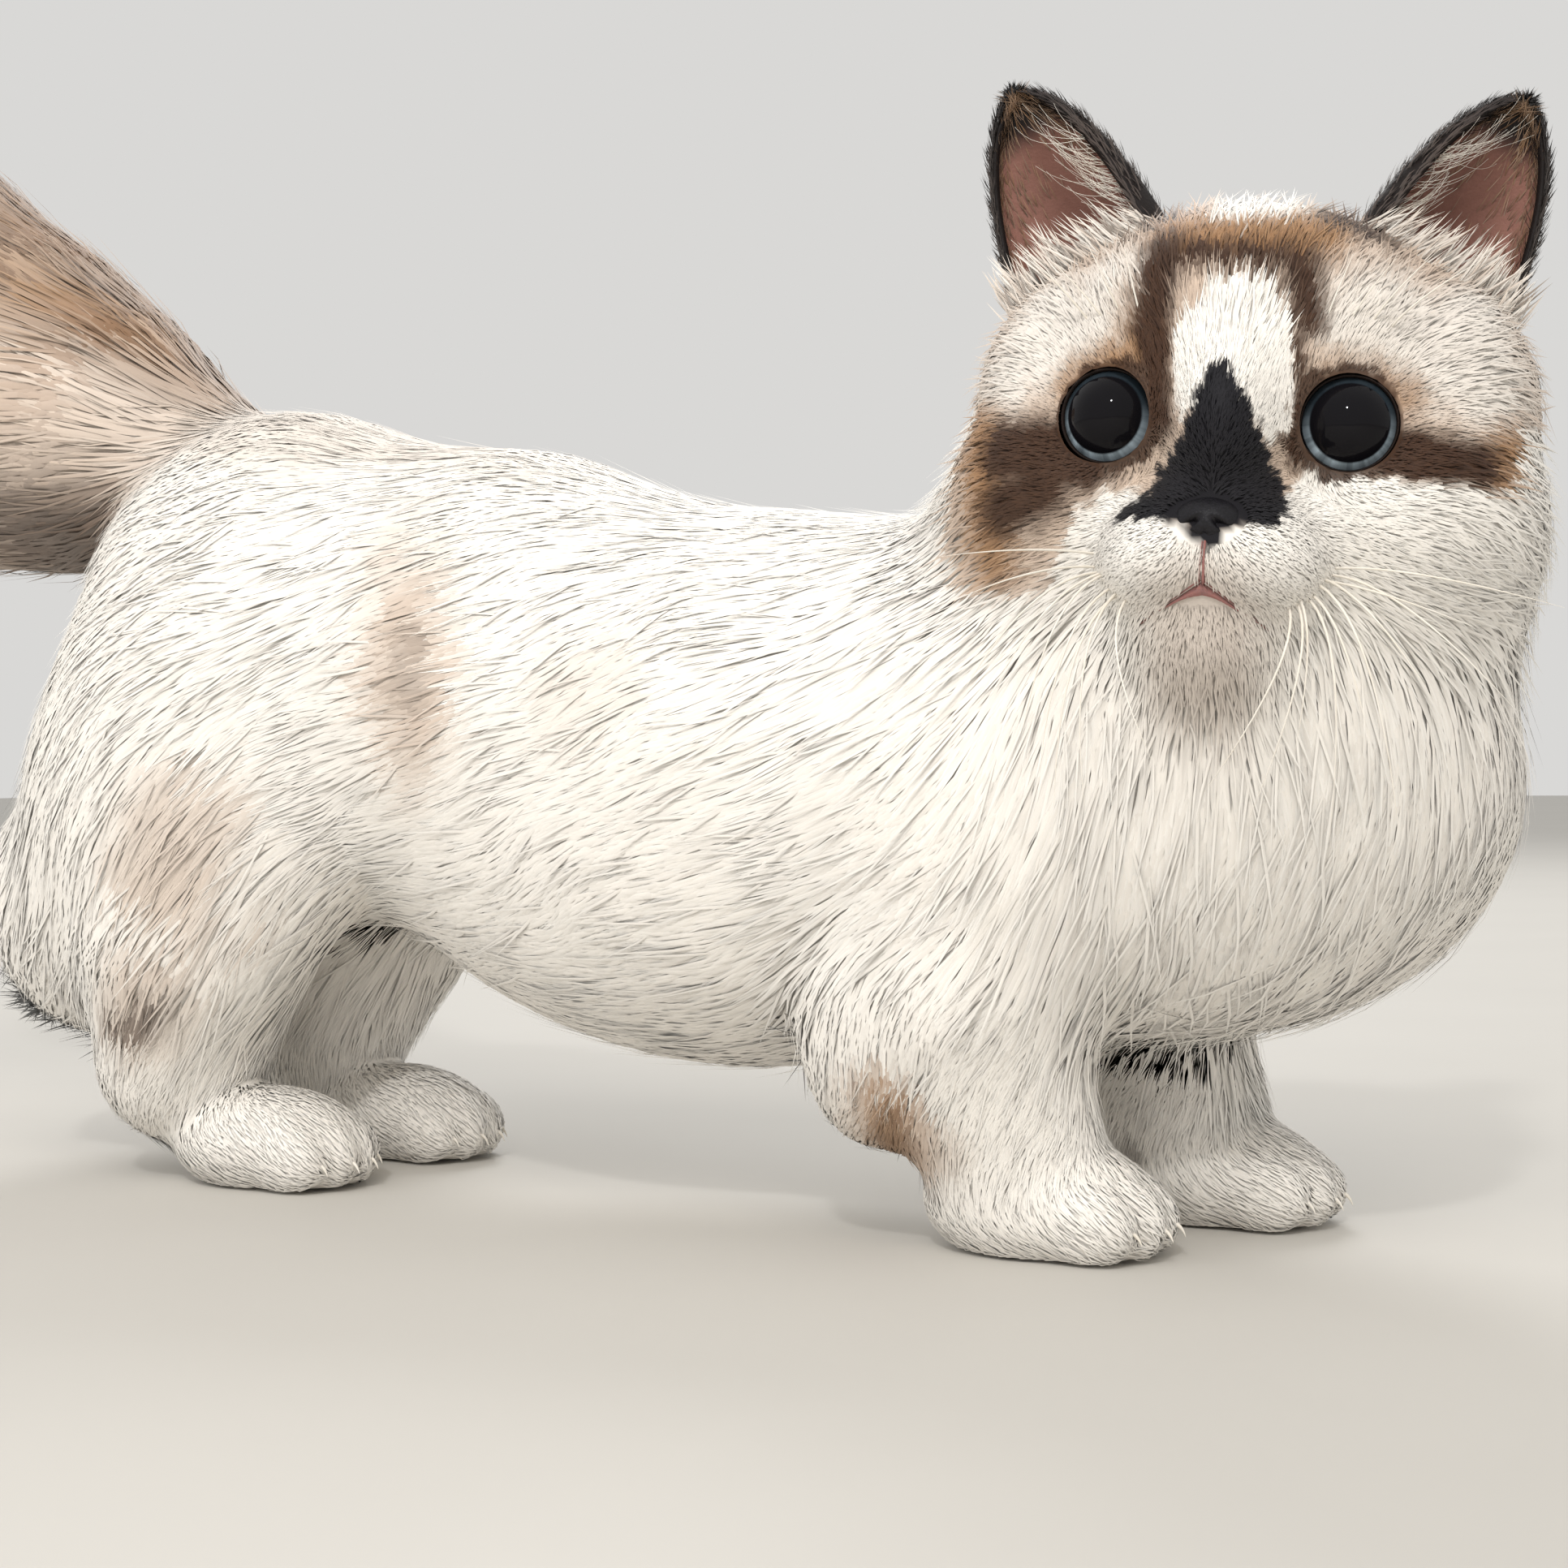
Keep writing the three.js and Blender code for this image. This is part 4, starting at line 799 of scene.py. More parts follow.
@dataclass(frozen=True)
class EyeFinish(Finish):
    """A wet cornea over a wide black pupil and a thin blue-grey iris, which gives sharp small highlights."""

    name: str = "wet_eye"
    # The iris's lit colour, then the same iris in painted shade, whose tone also darkens its streaks.
    iris: str = "#C2D4E0"
    iris_shade_and_streaks: str = "#1B242B"
    rim: str = "#0B0D11"
    pupil: str = "#121114"
    pupil_edge: tuple[float, float] = (0.83, 0.88)
    rim_edge: tuple[float, float] = (0.98, 1.01)

    def inputs(self, tree: NodeTree) -> dict[str, object]:
        """Rings of colour by the distance from the eye's axis, with fine spokes in the iris and painted light: the
        iris is painted lit at its bottom and painted shaded at its top.
        """
        ring, low, spoke = (add_node(tree, "ShaderNodeAttribute", attribute_name=name).outputs["Fac"]
                            for name in ("ring", "low", "spoke"))
        streak = add_node(tree, "ShaderNodeTexNoise", {"W": spoke, "Scale": 22.0, "Detail": 4.0},
                          noise_dimensions="1D")
        # Painted light: the low attribute lights the lower iris and leaves its top in painted shade; the streaks vary
        # it.
        painted_light_and_streaks = add_node(tree, "ShaderNodeMath", {0: low, 1: streak.outputs[0]}, operation="MULTIPLY")
        painted_light_and_streaks = add_node(tree, "ShaderNodeMath", {0: painted_light_and_streaks.outputs[0], 1: 1.35}, operation="MULTIPLY", use_clamp=True)
        iris = add_node(tree, "ShaderNodeMix",
                        {0: painted_light_and_streaks.outputs[0], 6: linear(self.iris_shade_and_streaks), 7: linear(self.iris)}, **COLOUR_MIX)
        tone = linear(self.pupil)
        for (start, end), outer in ((self.pupil_edge, iris.outputs[2]), (self.rim_edge, linear(self.rim))):
            share = add_node(tree, "ShaderNodeMapRange", {"Value": ring, "From Min": start, "From Max": end},
                             interpolation_type="SMOOTHSTEP")
            tone = add_node(tree, "ShaderNodeMix", {0: share.outputs[0], 6: tone, 7: outer}, **COLOUR_MIX).outputs[2]
        return {"Base Color": tone, "Roughness": 0.04, "IOR": 1.376, "Specular IOR Level": 0.2}


@dataclass(frozen=True)
class LeatherFinish(Finish):
    """Bare damp skin with a pebbled surface, such as nose leather or a lid's edge."""

    name: str = "nose_leather"
    base: str = "#17151B"
    # The tone of the painted shade in the creases.
    painted_shade: str = "#0A090C"
    pebble: float = 0.55
    roughness: float = 0.5

    def inputs(self, tree: NodeTree) -> dict[str, object]:
        """Pebbles of the given size in millimetres, with painted shade darkening the creases between them."""
        spot = add_node(tree, "ShaderNodeTexCoord").outputs["Object"]
        cells = add_node(tree, "ShaderNodeTexVoronoi", {"Vector": spot, "Scale": 1 / (self.pebble * MM)})
        crease = cells.outputs["Distance"]
        # Painted shade: the creases between the pebbles are mixed towards the darker tone.
        tone = add_node(tree, "ShaderNodeMix", {0: crease, 6: linear(self.base), 7: linear(self.painted_shade)}, **COLOUR_MIX)
        bump = add_node(tree, "ShaderNodeBump", {"Height": crease, "Strength": 0.35, "Distance": 0.0002}, invert=True)
        return {"Base Color": tone.outputs[2], "Normal": bump.outputs[0], "Roughness": self.roughness,
                "Specular IOR Level": 0.35}


@dataclass(frozen=True)
class LipFinish(Finish):
    """Thin bare skin of the lips: pink and damp, with painted shade darkening the crease, with a soft gloss."""

    name: str = "lip_skin"
    pink: str = "#9B6B66"
    # The crease's tone is painted shade.
    crease: str = "#5E3D39"

    def inputs(self, tree: NodeTree) -> dict[str, object]:
        """Paints shade into the crease and adds wrinkles 0.5 mm apart."""
        spot = add_node(tree, "ShaderNodeTexCoord").outputs["Object"]
        crease = add_node(tree, "ShaderNodeAttribute", attribute_name="crease").outputs["Fac"]
        wrinkle = add_node(tree, "ShaderNodeTexNoise", {"Vector": spot, "Scale": 2000.0, "Detail": 2.0})
        tone = add_node(tree, "ShaderNodeMix", {0: crease, 6: linear(self.pink), 7: linear(self.crease)},
                        **COLOUR_MIX)
        bump = add_node(tree, "ShaderNodeBump", {"Height": wrinkle.outputs[0], "Strength": 0.3, "Distance": 0.0002})
        return {"Base Color": tone.outputs[2], "Normal": bump.outputs[0], "Roughness": 0.58,
                "Subsurface Weight": 0.15, "Subsurface Scale": 0.001}


@dataclass(frozen=True)
class EarFinish(Finish):
    """Thin ear skin: pinkish brown inside, dark and downy at the rim and back."""

    name: str = "ear_skin"
    inner: str = "#9C7064"
    # The tone of the painted shade in the cup's floor, also used for its random blotches.
    painted_shade: str = "#5A382E"
    back: str = "#191210"

    def inputs(self, tree: NodeTree) -> dict[str, object]:
        """Darkens towards the rim, and towards the cup's floor with painted shade, with a down 0.7 mm apart."""
        spot = add_node(tree, "ShaderNodeTexCoord").outputs["Object"]
        cup, floor = (add_node(tree, "ShaderNodeAttribute", attribute_name=name).outputs["Fac"]
                      for name in ("cup", "floor"))
        blotch = add_node(tree, "ShaderNodeTexNoise", {"Vector": spot, "Scale": 180.0, "Detail": 4.0}).outputs[0]
        painted_shade = linear(self.painted_shade)
        # Painted shade: the floor attribute darkens the cup's middle and foot.
        tone = add_node(tree, "ShaderNodeMix", {0: floor, 6: linear(self.inner), 7: painted_shade}, **COLOUR_MIX).outputs[2]
        dark = add_node(tree, "ShaderNodeMix", {0: blotch, 6: tone, 7: painted_shade}, **COLOUR_MIX).outputs[2]
        half = add_node(tree, "ShaderNodeMix", {0: 0.4, 6: tone, 7: dark}, **COLOUR_MIX).outputs[2]
        whole = add_node(tree, "ShaderNodeMix", {0: cup, 6: linear(self.back), 7: half}, **COLOUR_MIX)
        down = add_node(tree, "ShaderNodeTexNoise", {"Vector": spot, "Scale": 1400.0, "Detail": 2.0})
        bump = add_node(tree, "ShaderNodeBump", {"Height": down.outputs[0], "Strength": 0.4, "Distance": 0.0003})
        return {"Base Color": whole.outputs[2], "Normal": bump.outputs[0], "Roughness": 0.6,
                "Specular IOR Level": 0.3}


@dataclass(frozen=True)
class CloudFinish(Finish):
    """Two near tones in slow clouds, for surfaces that are all but plain."""

    name: str = "matt_surface"
    base: str = "#C9C6C0"
    other: str = "#C3C0BA"
    roughness: float = 0.7
    noise: tuple[tuple[str, float], ...] = (("Scale", 9.0), ("Detail", 3.0))

    def inputs(self, tree: NodeTree) -> dict[str, object]:
        """Mixes the two tones."""
        spot = add_node(tree, "ShaderNodeTexCoord").outputs["Object"]
        cloud = add_node(tree, "ShaderNodeTexNoise", {"Vector": spot, **dict(self.noise)})
        tone = add_node(tree, "ShaderNodeMix",
                        {0: cloud.outputs[0], 6: linear(self.base), 7: linear(self.other)}, **COLOUR_MIX)
        return {"Base Color": tone.outputs[2], "Roughness": self.roughness}


# Whiskers and claws are clear smooth keratin, white with a soft gloss, in tones that change along each one.
KERATIN = CloudFinish("whisker_keratin", "#F4F1EA", "#DDD3C2", 0.35, (("Scale", 120.0),))
# The floor is matt paint with very faint clouds, a hand's width across.
MATT_FLOOR = CloudFinish("matt_floor")
# The lids' edges are dark bare skin with a finer pebble than the nose, dry enough to look matt, with painted shade in
# its creases.
LID_EDGE = LeatherFinish("lid_edge", base="#2A1C15", painted_shade="#150E0B", pebble=0.3, roughness=0.7)


# Meshes

def add_object(name: str, data: ID) -> Object:
    """Puts data into the scene as an object."""
    thing = bpy.data.objects.new(name, data)
    bpy.context.scene.collection.objects.link(thing)
    return thing


def mesh_object(name: str, vertices: Array, faces: list[Array], material: Material) -> Object:
    """A mesh in metres from arrays.

    Args:
        name: The piece's name.
        vertices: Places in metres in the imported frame.
        faces: Arrays of corner numbers, one for each count of corners.
        material: Its finish.

    Returns:
        The new object, at the origin.
    """
    mesh = bpy.data.meshes.new(name)
    corners = np.concatenate([f.ravel() for f in faces]).astype(np.int32)
    counts = np.concatenate([np.full(len(f), f.shape[1]) for f in faces]).astype(np.int32)
    mesh.vertices.add(len(vertices))
    mesh.vertices.foreach_set("co", vertices.astype(np.float32).ravel())
    mesh.loops.add(len(corners))
    mesh.loops.foreach_set("vertex_index", corners)
    mesh.polygons.add(len(counts))
    mesh.polygons.foreach_set("loop_start", np.concatenate([[0], np.cumsum(counts)[:-1]]).astype(np.int32))
    mesh.polygons.foreach_set("use_smooth", np.ones(len(counts), bool))
    mesh.update(calc_edges=True)
    mesh.validate()
    mesh.materials.append(material)
    return add_object(name, mesh)


def set_values(thing: Object, name: str, values: Array) -> None:
    """Stores one number, or a colour of three numbers, for each corner of a mesh."""
    if values.ndim == 1:
        thing.data.attributes.new(name, "FLOAT", "POINT").data.foreach_set("value", values.astype(np.float32))
        return
    colours = np.ones((len(values), 4), np.float32)
    colours[:, :3] = values
    thing.data.attributes.new(name, "FLOAT_COLOR", "POINT").data.foreach_set("color", colours.ravel())


def grid_faces(rows: int, columns: int, closed: bool) -> Array:
    """Four-cornered faces of a grid, its columns joined round when closed."""
    r, c = np.meshgrid(np.arange(rows - 1), np.arange(columns if closed else columns - 1), indexing="ij")
    d = (c + 1) % columns
    low, high = r * columns, (r + 1) * columns
    return np.stack([low + c, low + d, high + d, high + c], axis=-1).reshape(-1, 4)


def tube_faces(rows: int, columns: int) -> list[Array]:
    """Faces of a grid that is joined round, with a cap at each end."""
    ring = np.arange(columns)[None]
    return [grid_faces(rows, columns, True), ring[:, ::-1], ring + (rows - 1) * columns]


def ball_angles(rows: int, columns: int, pole: float) -> tuple[Array, Array]:
    """Angles of a ball's grid from its pole and round its axis, the first row a little off the pole."""
    theta = np.linspace(pole, math.pi - pole, rows)
    return np.meshgrid(theta, np.linspace(0, 2 * math.pi, columns, endpoint=False), indexing="ij")


@dataclass
class Skin:
    """One closed skin for the whole body, drawn where its field is zero."""

    shape: CatShape
    marks: Markings
    coarse: float = 2.6
    fine: float = 1.48
    across: float = 1.7
    far: float = 30.0
    near: float = 13.0
    every: int = 5
    window: float = 9.05

    def axis(self, low: float, start: float, high: float) -> Array:
        """Grid lines along one axis, close together past the start of the head."""
        return np.concatenate([np.arange(low, start, self.coarse), np.arange(start, high, self.fine)])

    def sample(self, axes: list[Array]) -> Array:
        """The skin's field on a grid, worked out in full only near the surface.

        Args:
            axes: The grid's steps along each axis.

        Returns:
            The field at each crossing.
        """
        sizes = [len(a) for a in axes]
        coarse = np.stack(np.meshgrid(*[a[::self.every] for a in axes], indexing="ij"), axis=-1)
        wide = self.shape.skin(coarse.reshape(-1, 3)).reshape(coarse.shape[:3])
        for axis, size in enumerate(sizes):
            wide = np.repeat(wide, self.every, axis=axis).take(range(size), axis=axis)
        values = (np.sign(wide) * self.far).astype(np.float32)
        spots = np.argwhere(np.abs(wide) < self.near)
        for part in np.array_split(spots, max(1, len(spots) // 300000)):
            p = np.stack([axes[i][part[:, i]] for i in range(3)], axis=1)
            values[tuple(part.T)] = self.shape.skin(p)
        return values

    def make(self, material: Material) -> Object:
        """Draws the surface, settles it on the field and opens it at the eyes."""
        axes = [self.axis(-352, 96, 200), np.arange(-92, 80, self.across), self.axis(-2, 104, 345)]
        grid = openvdb.FloatGrid(self.far)
        grid.copyFromArray(self.sample(axes))
        points, quads = grid.convertToQuads(isovalue=0.0)
        p = np.stack([np.interp(points[:, i], np.arange(len(axes[i])), axes[i]) for i in range(3)], axis=1)
        for _ in range(3):
            p -= slope(self.shape.skin, p) * np.clip(self.shape.skin(p), -1.2, 1.2)[:, None]
        quads = np.asarray(quads, np.int64)
        corner = p[quads]
        facing = np.cross(corner[:, 2] - corner[:, 0], corner[:, 3] - corner[:, 1])
        outward = slope(self.shape.skin, corner.mean(axis=1))
        if (facing * outward).sum() < 0:
            quads = quads[:, ::-1]
        keep = ~self.in_window(p[quads].mean(axis=1))
        used = np.unique(quads[keep])
        place = np.full(len(p), -1)
        place[used] = np.arange(len(used))
        p = self.trim(p, np.intersect1d(used, np.unique(quads[~keep])))
        self.points, self.quads = p, quads
        thing = mesh_object("skin", self.shape.packed(p[used]), [place[quads[keep]]], material)
        share = self.shape.shares(self.shape.parts(p[used])[1])
        set_values(thing, "marking", self.marks.at(p[used], share[Part.HEAD]))
        return thing

    def trim(self, p: Array, edge: Array) -> Array:
        """Moves the corners at the edge of each eye's opening onto its circle.

        Args:
            p: The skin's corners.
            edge: Which of them are at an opening.

        Returns:
            All the corners.
        """
        q = self.shape.head.inside(p[edge])
        for side in (1, -1):
            off, ahead = self.off_axis(q, side)
            away = np.linalg.norm(off, axis=1)
            close = (np.abs(away - self.window) < 3) & (ahead > 0)
            q[close] += (off * (self.window / np.maximum(away, 1) - 1)[:, None])[close]
        p = p.copy()
        p[edge] = self.shape.head.outside(q)
        return p

    def on_lips(self, q: Array, extra: float = 0.35) -> Array:
        """Which places of the head lie on the bare lips."""
        found = np.zeros(len(q), bool)
        near = np.linalg.norm(q - np.array([50, 0, -29]), axis=1) < 20
        spots, wide = self.shape.mouth_spots()
        away = np.min([np.linalg.norm(q[near] - m, axis=1) - w for m, w in zip(spots, wide)], axis=0)
        found[near] = away < extra
        return found

    def off_axis(self, q: Array, side: int) -> tuple[Array, Array]:
        """How places of the head lie off one eye's axis, and how far ahead of the eye's middle."""
        way = self.shape.eye_way(side)
        v = q - self.shape.eye_centre(side)
        ahead = v @ way
        return v - ahead[:, None] * way, ahead

    def in_window(self, p: Array, extra: float = 0.0) -> Array:
        """Which places lie in front of an eye, inside its opening."""
        q = self.shape.head.inside(p)
        found = np.zeros(len(p), bool)
        for side in (1, -1):
            off, ahead = self.off_axis(q, side)
            found |= (ahead > 2) & (np.linalg.norm(off, axis=1) < self.window + extra)
        return found


@dataclass
class Tufts:
    """A batch of tufts before they become meshes."""

    paths: Array
    normals: Array
    widths: Array
    marks: Array
    strands: Array
    places: Array


class Zone(Enum):
    """The coat's pieces, each with the points along its tufts that are drawn."""

    FACE_RIGHT = ("face_right", False)
    FACE_LEFT = ("face_left", False)
    CROWN = ("crown", False)
    NECK = ("neck", True)
    CHEST = ("chest", True)
    RUMP = ("rump", False)
    SIDE_RIGHT = ("side_right", False)
    SIDE_LEFT = ("side_left", False)
    THIGH_RIGHT = ("thigh_right", False)
    THIGH_LEFT = ("thigh_left", False)
    FORELEGS = ("forelegs", False)
    HINDLEGS = ("hindlegs", False)
    FOREPAWS = ("forepaws", False)
    HINDPAWS = ("hindpaws", False)
    TAIL_BASE = ("tail_base", True)
    TAIL_END = ("tail_end", True)

    @property
    def stations(self) -> tuple[float, ...]:
        """Shares of a tuft's length where its path is drawn."""
        return (0, 0.26, 0.66, 1) if self.value[1] else (0, 0.42, 1)


@dataclass
class Coat:
    """The coat: solid three-sided tufts rooted in the skin, lying along the body out to its outline.

    The layers say how many tufts lie over each other on each part of the body.
    """

    shape: CatShape
    marks: Markings
    skin: Skin
    layers: tuple[float, ...] = (8.0, 12.0, 11.4, 8.2, 11.4, 8.2, 3.0, 12.6)
    seed: int = 41
    flyaway: float = 0.05
    rise: float = 0.25

    def length(self, p: Array, share: Array) -> Array:
        """How long the hair is at each place, in millimetres.

        Args:
            p: Places in the cat's frame.
            share: The parts' shares there.

        Returns:
            One length each.
        """
        q = self.shape.head.inside(p)
        muzzle = np.linalg.norm(q - np.array([50, 0, -20]), axis=1)
        beside = np.abs(q[:, 1])
        head = 2.1 + 8.5 * smooth(muzzle, 15, 58) + 6 * smooth(-q[:, 0], -14, 20) + 5 * smooth(beside, 36, 56)
        head = head + 5 * smooth(-q[:, 2], 34, 60) + 3 * smooth(q[:, 2], 30, 44)
        head = head + 6 * smooth(beside, 12, 24) * smooth(-q[:, 2], 24, 38)
        head = np.minimum(head, 1.7 + 0.6 * np.maximum(self.from_eye(q) - 10, 0))
        trunk = 25 + 8 * smooth(110 - p[:, 2], 0, 60) + 3 * smooth(p[:, 0], 90, 140)
        rear = np.where(p[:, 0] > 0, p[:, 0] < 80, p[:, 0] < -140)
        leg = 9 + 11 * smooth(p[:, 2], 25, 60) + 5 * rear
        paw = np.full(len(p), 5.4)
        tail = 46 - 30 * smooth(self.shape.tail_surface(p)[1], 0.78, 1)
        each = np.stack([head, np.full(len(p), 29.0), trunk, leg, trunk + 3, leg + 3, paw, tail])
        return (each * share).sum(axis=0)

    def from_eye(self, q: Array) -> Array:
        """How far each place of the head is from the nearer eye's axis."""
        found = np.full(len(q), 1e9)
        for side in (1, -1):
            off, ahead = self.skin.off_axis(q, side)
            found = np.where(ahead > -4, np.minimum(found, np.linalg.norm(off, axis=1)), found)
        return found

    def face_lie(self, q: Array) -> Array:
        """The way the hair lies on the head: away from the nose, round the eyes, down at the cheeks."""
        out = unit(q - np.array([54, 0, -13]))
        out[:, 2] -= 0.8 * smooth(-q[:, 0], -10, 30) + 0.4 * smooth(np.abs(q[:, 1]), 28, 50)
        out[:, 2] -= 0.8 * smooth(-q[:, 2], 24, 36) * smooth(q[:, 0], 26, 40)
        out[:, 1] += 0.5 * np.sign(q[:, 1]) * smooth(np.abs(q[:, 1]), 1, 8) * smooth(-q[:, 2], 14, 24)
        for side in (1, -1):
            off, ahead = self.skin.off_axis(q, side)
            away = np.linalg.norm(off, axis=1)
            radial = off / np.maximum(away, 1e-6)[:, None]
            near = smooth(19 - away, 0, 7) * (ahead > -4)
            inward = (out * radial).sum(axis=1)
            out += radial * (near * (0.45 - np.minimum(inward, 0)))[:, None]
        return unit(out)

    def lie(self, p: Array, share: Array) -> Array:
        """The way the hair lies at each place.

        Args:
            p: Places in the cat's frame.
            share: The parts' shares there.

        Returns:
            One direction each.
        """
        head = self.shape.head.turned(self.face_lie(self.shape.head.inside(p)))
        front = smooth(p[:, 0], 70, 130)
        side = np.sign(p[:, 1])
        trunk = unit(np.stack([-1 + 0.85 * front, 0.12 * side, -0.35 - 0.9 * front], axis=1))
        neck = unit(unit(p - np.array(self.shape.head.at)) + np.array([0, 0, -0.8]))
        thigh = unit(np.stack([np.full(len(p), -0.55), 0.1 * side, np.full(len(p), -0.8)], axis=1))
        leg = unit(np.stack([np.full(len(p), -0.4), 0.12 * side, np.full(len(p), -0.9)], axis=1))
        paw = unit(np.array([[0.85, 0, -0.5]]) + np.zeros_like(p))
        along = np.round(self.shape.tail_surface(p)[1] * self.shape.tail_steps).astype(int)
        away = unit(p - self.shape.tail_points[along])
        tail = unit(self.shape.tail_ways[along] + 0.3 * away + np.array([0, 0, -0.3]))
        each = np.stack([head, neck, trunk, leg, thigh, leg, paw, tail])
        total = (each * share[:, :, None]).sum(axis=0)
        calm = 1 - 0.7 * share[Part.HEAD][:, None]
        return unit(total + calm * (0.16 * ripples(p, 38, 20) + 0.10 * ripples(p, 13, 30)))

    def roots(self, rng: Rng) -> tuple[Array, Array, Array]:
        """Draws places on the skin, closer together where the hair is short.

        Args:
            rng: The seeded generator.

        Returns:
            The places, the parts' shares there and the hair's length.
        """
        quads = self.skin.quads
        corners = self.skin.points[quads]
        middle = corners.mean(axis=1)
        area = 0.5 * np.linalg.norm(np.cross(corners[:, 2] - corners[:, 0], corners[:, 3] - corners[:, 1]), axis=1)
        share = self.shape.shares(self.shape.parts(middle)[1])
        length = self.length(middle, share)
        count = area * (np.array(self.layers) @ share) / (np.maximum(length, 3.2) * self.width(length))
        count = (count + rng.random(len(count))).astype(int)
        pick = np.repeat(np.arange(len(quads)), count)
        a, b = rng.random((2, len(pick), 1))
        c = corners[pick]
        p = (c[:, 0] * (1 - a) + c[:, 1] * a) * (1 - b) + (c[:, 3] * (1 - a) + c[:, 2] * a) * b
        return p, share[:, pick], length[pick]

    def width(self, length: Array) -> Array:
        """How wide a tuft of some length is."""
        return 0.4 + 0.022 * length

    def bare(self, p: Array) -> Array:
        """Where no hair grows: eyes, nose, lips and soles."""
        q = self.shape.head.inside(p)
        eye = self.skin.in_window(p, 0.15)
        nose = Egg(self.shape.nose_at, tuple(s + 0.1 for s in self.shape.nose_size)).distance(q) < 0
        sole = p[:, 2] < 1.6
        return eye | nose | sole | self.skin.on_lips(q)

    def grow(self, zone: Zone, p: Array, share: Array, length: Array, rng: Rng) -> Tufts:
        """Leads one zone's tufts along the body to the tips' surface and draws some towards their lock.

        Args:
            zone: The piece of the coat.
            p: The roots.
            share: The parts' shares there.
            length: The hair's length there.
            rng: The seeded generator.

        Returns:
            The tufts, without their places on the flat map.
        """
        count = len(p)
        length = length * rng.uniform(0.75, 1.2, count)
        tips = self.shape.tips
        start = tips(p)
        crest = rng.uniform(-0.12, 0.1, count)
        end_level = crest + start * rng.uniform(0.02, 0.2, count)
        head = share[Part.HEAD]
        loose = rng.random(count) < self.flyaway * (1 + 2.2 * head + 1.2 * smooth(np.abs(p[:, 0]), 70, 120))
        lift = 0.11 + 0.14 * head * smooth(length, 5, 9)
        end_level = np.where(loose, end_level + lift * length * rng.uniform(0.4, 1, count), end_level)
        normal = slope(tips, p)
        flow = self.lie(p, share)
        jitter = unit(rng.normal(size=(count, 3))) * np.where(loose, 0.3, 0.13)[:, None]
        path, normals = [p - normal * 0.4], [normal]
        here = p.copy()
        for previous, s in zip(zone.stations, zone.stations[1:]):
            run = flow + jitter
            run = unit(run - (run * normal).sum(axis=1, keepdims=True) * normal)
            here = here + run * (length * (s - previous))[:, None]
            past = max(0, s - self.rise)
            level = start + (crest - start) * min(1, s / self.rise) + (end_level - crest) * past / (1 - self.rise)
            normal = slope(tips, here)
            here = here + normal * np.clip(level - tips(here), -6, 6)[:, None]
            here[:, 2] = np.maximum(here[:, 2], 0.8)
            path.append(here)
            normals.append(normal)
        paths = self.gather(np.stack(path, axis=1), zone.stations, length, rng)
        widths = self.width(length) * rng.uniform(0.75, 1.25, count) * np.where(loose, 0.6, 1)
        marks = self.marks.at(paths[:, 1] * 0.5 + paths[:, 2] * 0.5, head)
        return Tufts(paths, np.stack(normals, axis=1), widths, marks, rng.random(count), np.zeros((count, 2)))

    def gather(self, paths: Array, stations: tuple[float, ...], length: Array, rng: Rng) -> Array:
        """Draws the tips of long hair a little towards a neighbour's, which makes soft locks.

        Args:
            paths: The tufts' points.
            stations: Their shares of the way to the tip.
            length: Each tuft's length.
            rng: Where chance comes from.

        Returns:
            The new points.
        """
        long = np.flatnonzero(length > 9)
        leaders = long[rng.random(len(long)) < 0.05]
        if not len(leaders):
            return paths
        tree = KDTree(len(leaders))
        for i, k in enumerate(leaders):
            tree.insert(paths[k, 0], i)
        tree.balance()
        lead = np.array([leaders[tree.find(paths[k, 0])[1]] for k in long])
        near = np.linalg.norm(paths[long, 0] - paths[lead, 0], axis=1) < 12
        long, lead = long[near], lead[near]
        strength = 0.25 * smooth(length[long], 9, 26) * rng.uniform(0.3, 1, len(long))
        for i, s in enumerate(stations):
            paths[long, i] += (paths[lead, i] - paths[long, i]) * (strength * s ** 1.4)[:, None]
        return paths

    def unwrap(self, p: Array, share: Array) -> tuple[Array, Array]:
        """Lays the skin out flat, part by part.

        Args:
            p: The roots.
            share: The parts' shares there.

        Returns:
            A place in a unit square for each root, and the number of the zone that it belongs to.
        """
        number = {zone: i for i, zone in enumerate(Zone)}
        main = share.argmax(axis=0)
        q = self.shape.head.inside(p)
        flat, piece = np.zeros((len(p), 2)), np.zeros(len(p), int)
        x, y, z = p.T

        def share_round(a: Array, b: Array) -> Array:
            """The share of a turn that two lengths make."""
            return np.arctan2(a, b) / (2 * math.pi) + 0.5

        def lay(mask: Array, across: Array, up: Array, zones: Array) -> None:
            """Gives some roots their places and zones."""
            flat[mask] = np.stack([across, up], axis=1)[mask]
            piece[mask] = (zones + np.zeros(len(p), int))[mask]

        def by_side(left: Zone, right: Zone, beside: Array) -> Array:
            """The number of one zone or the other."""
            return np.where(beside > 0, number[left], number[right])

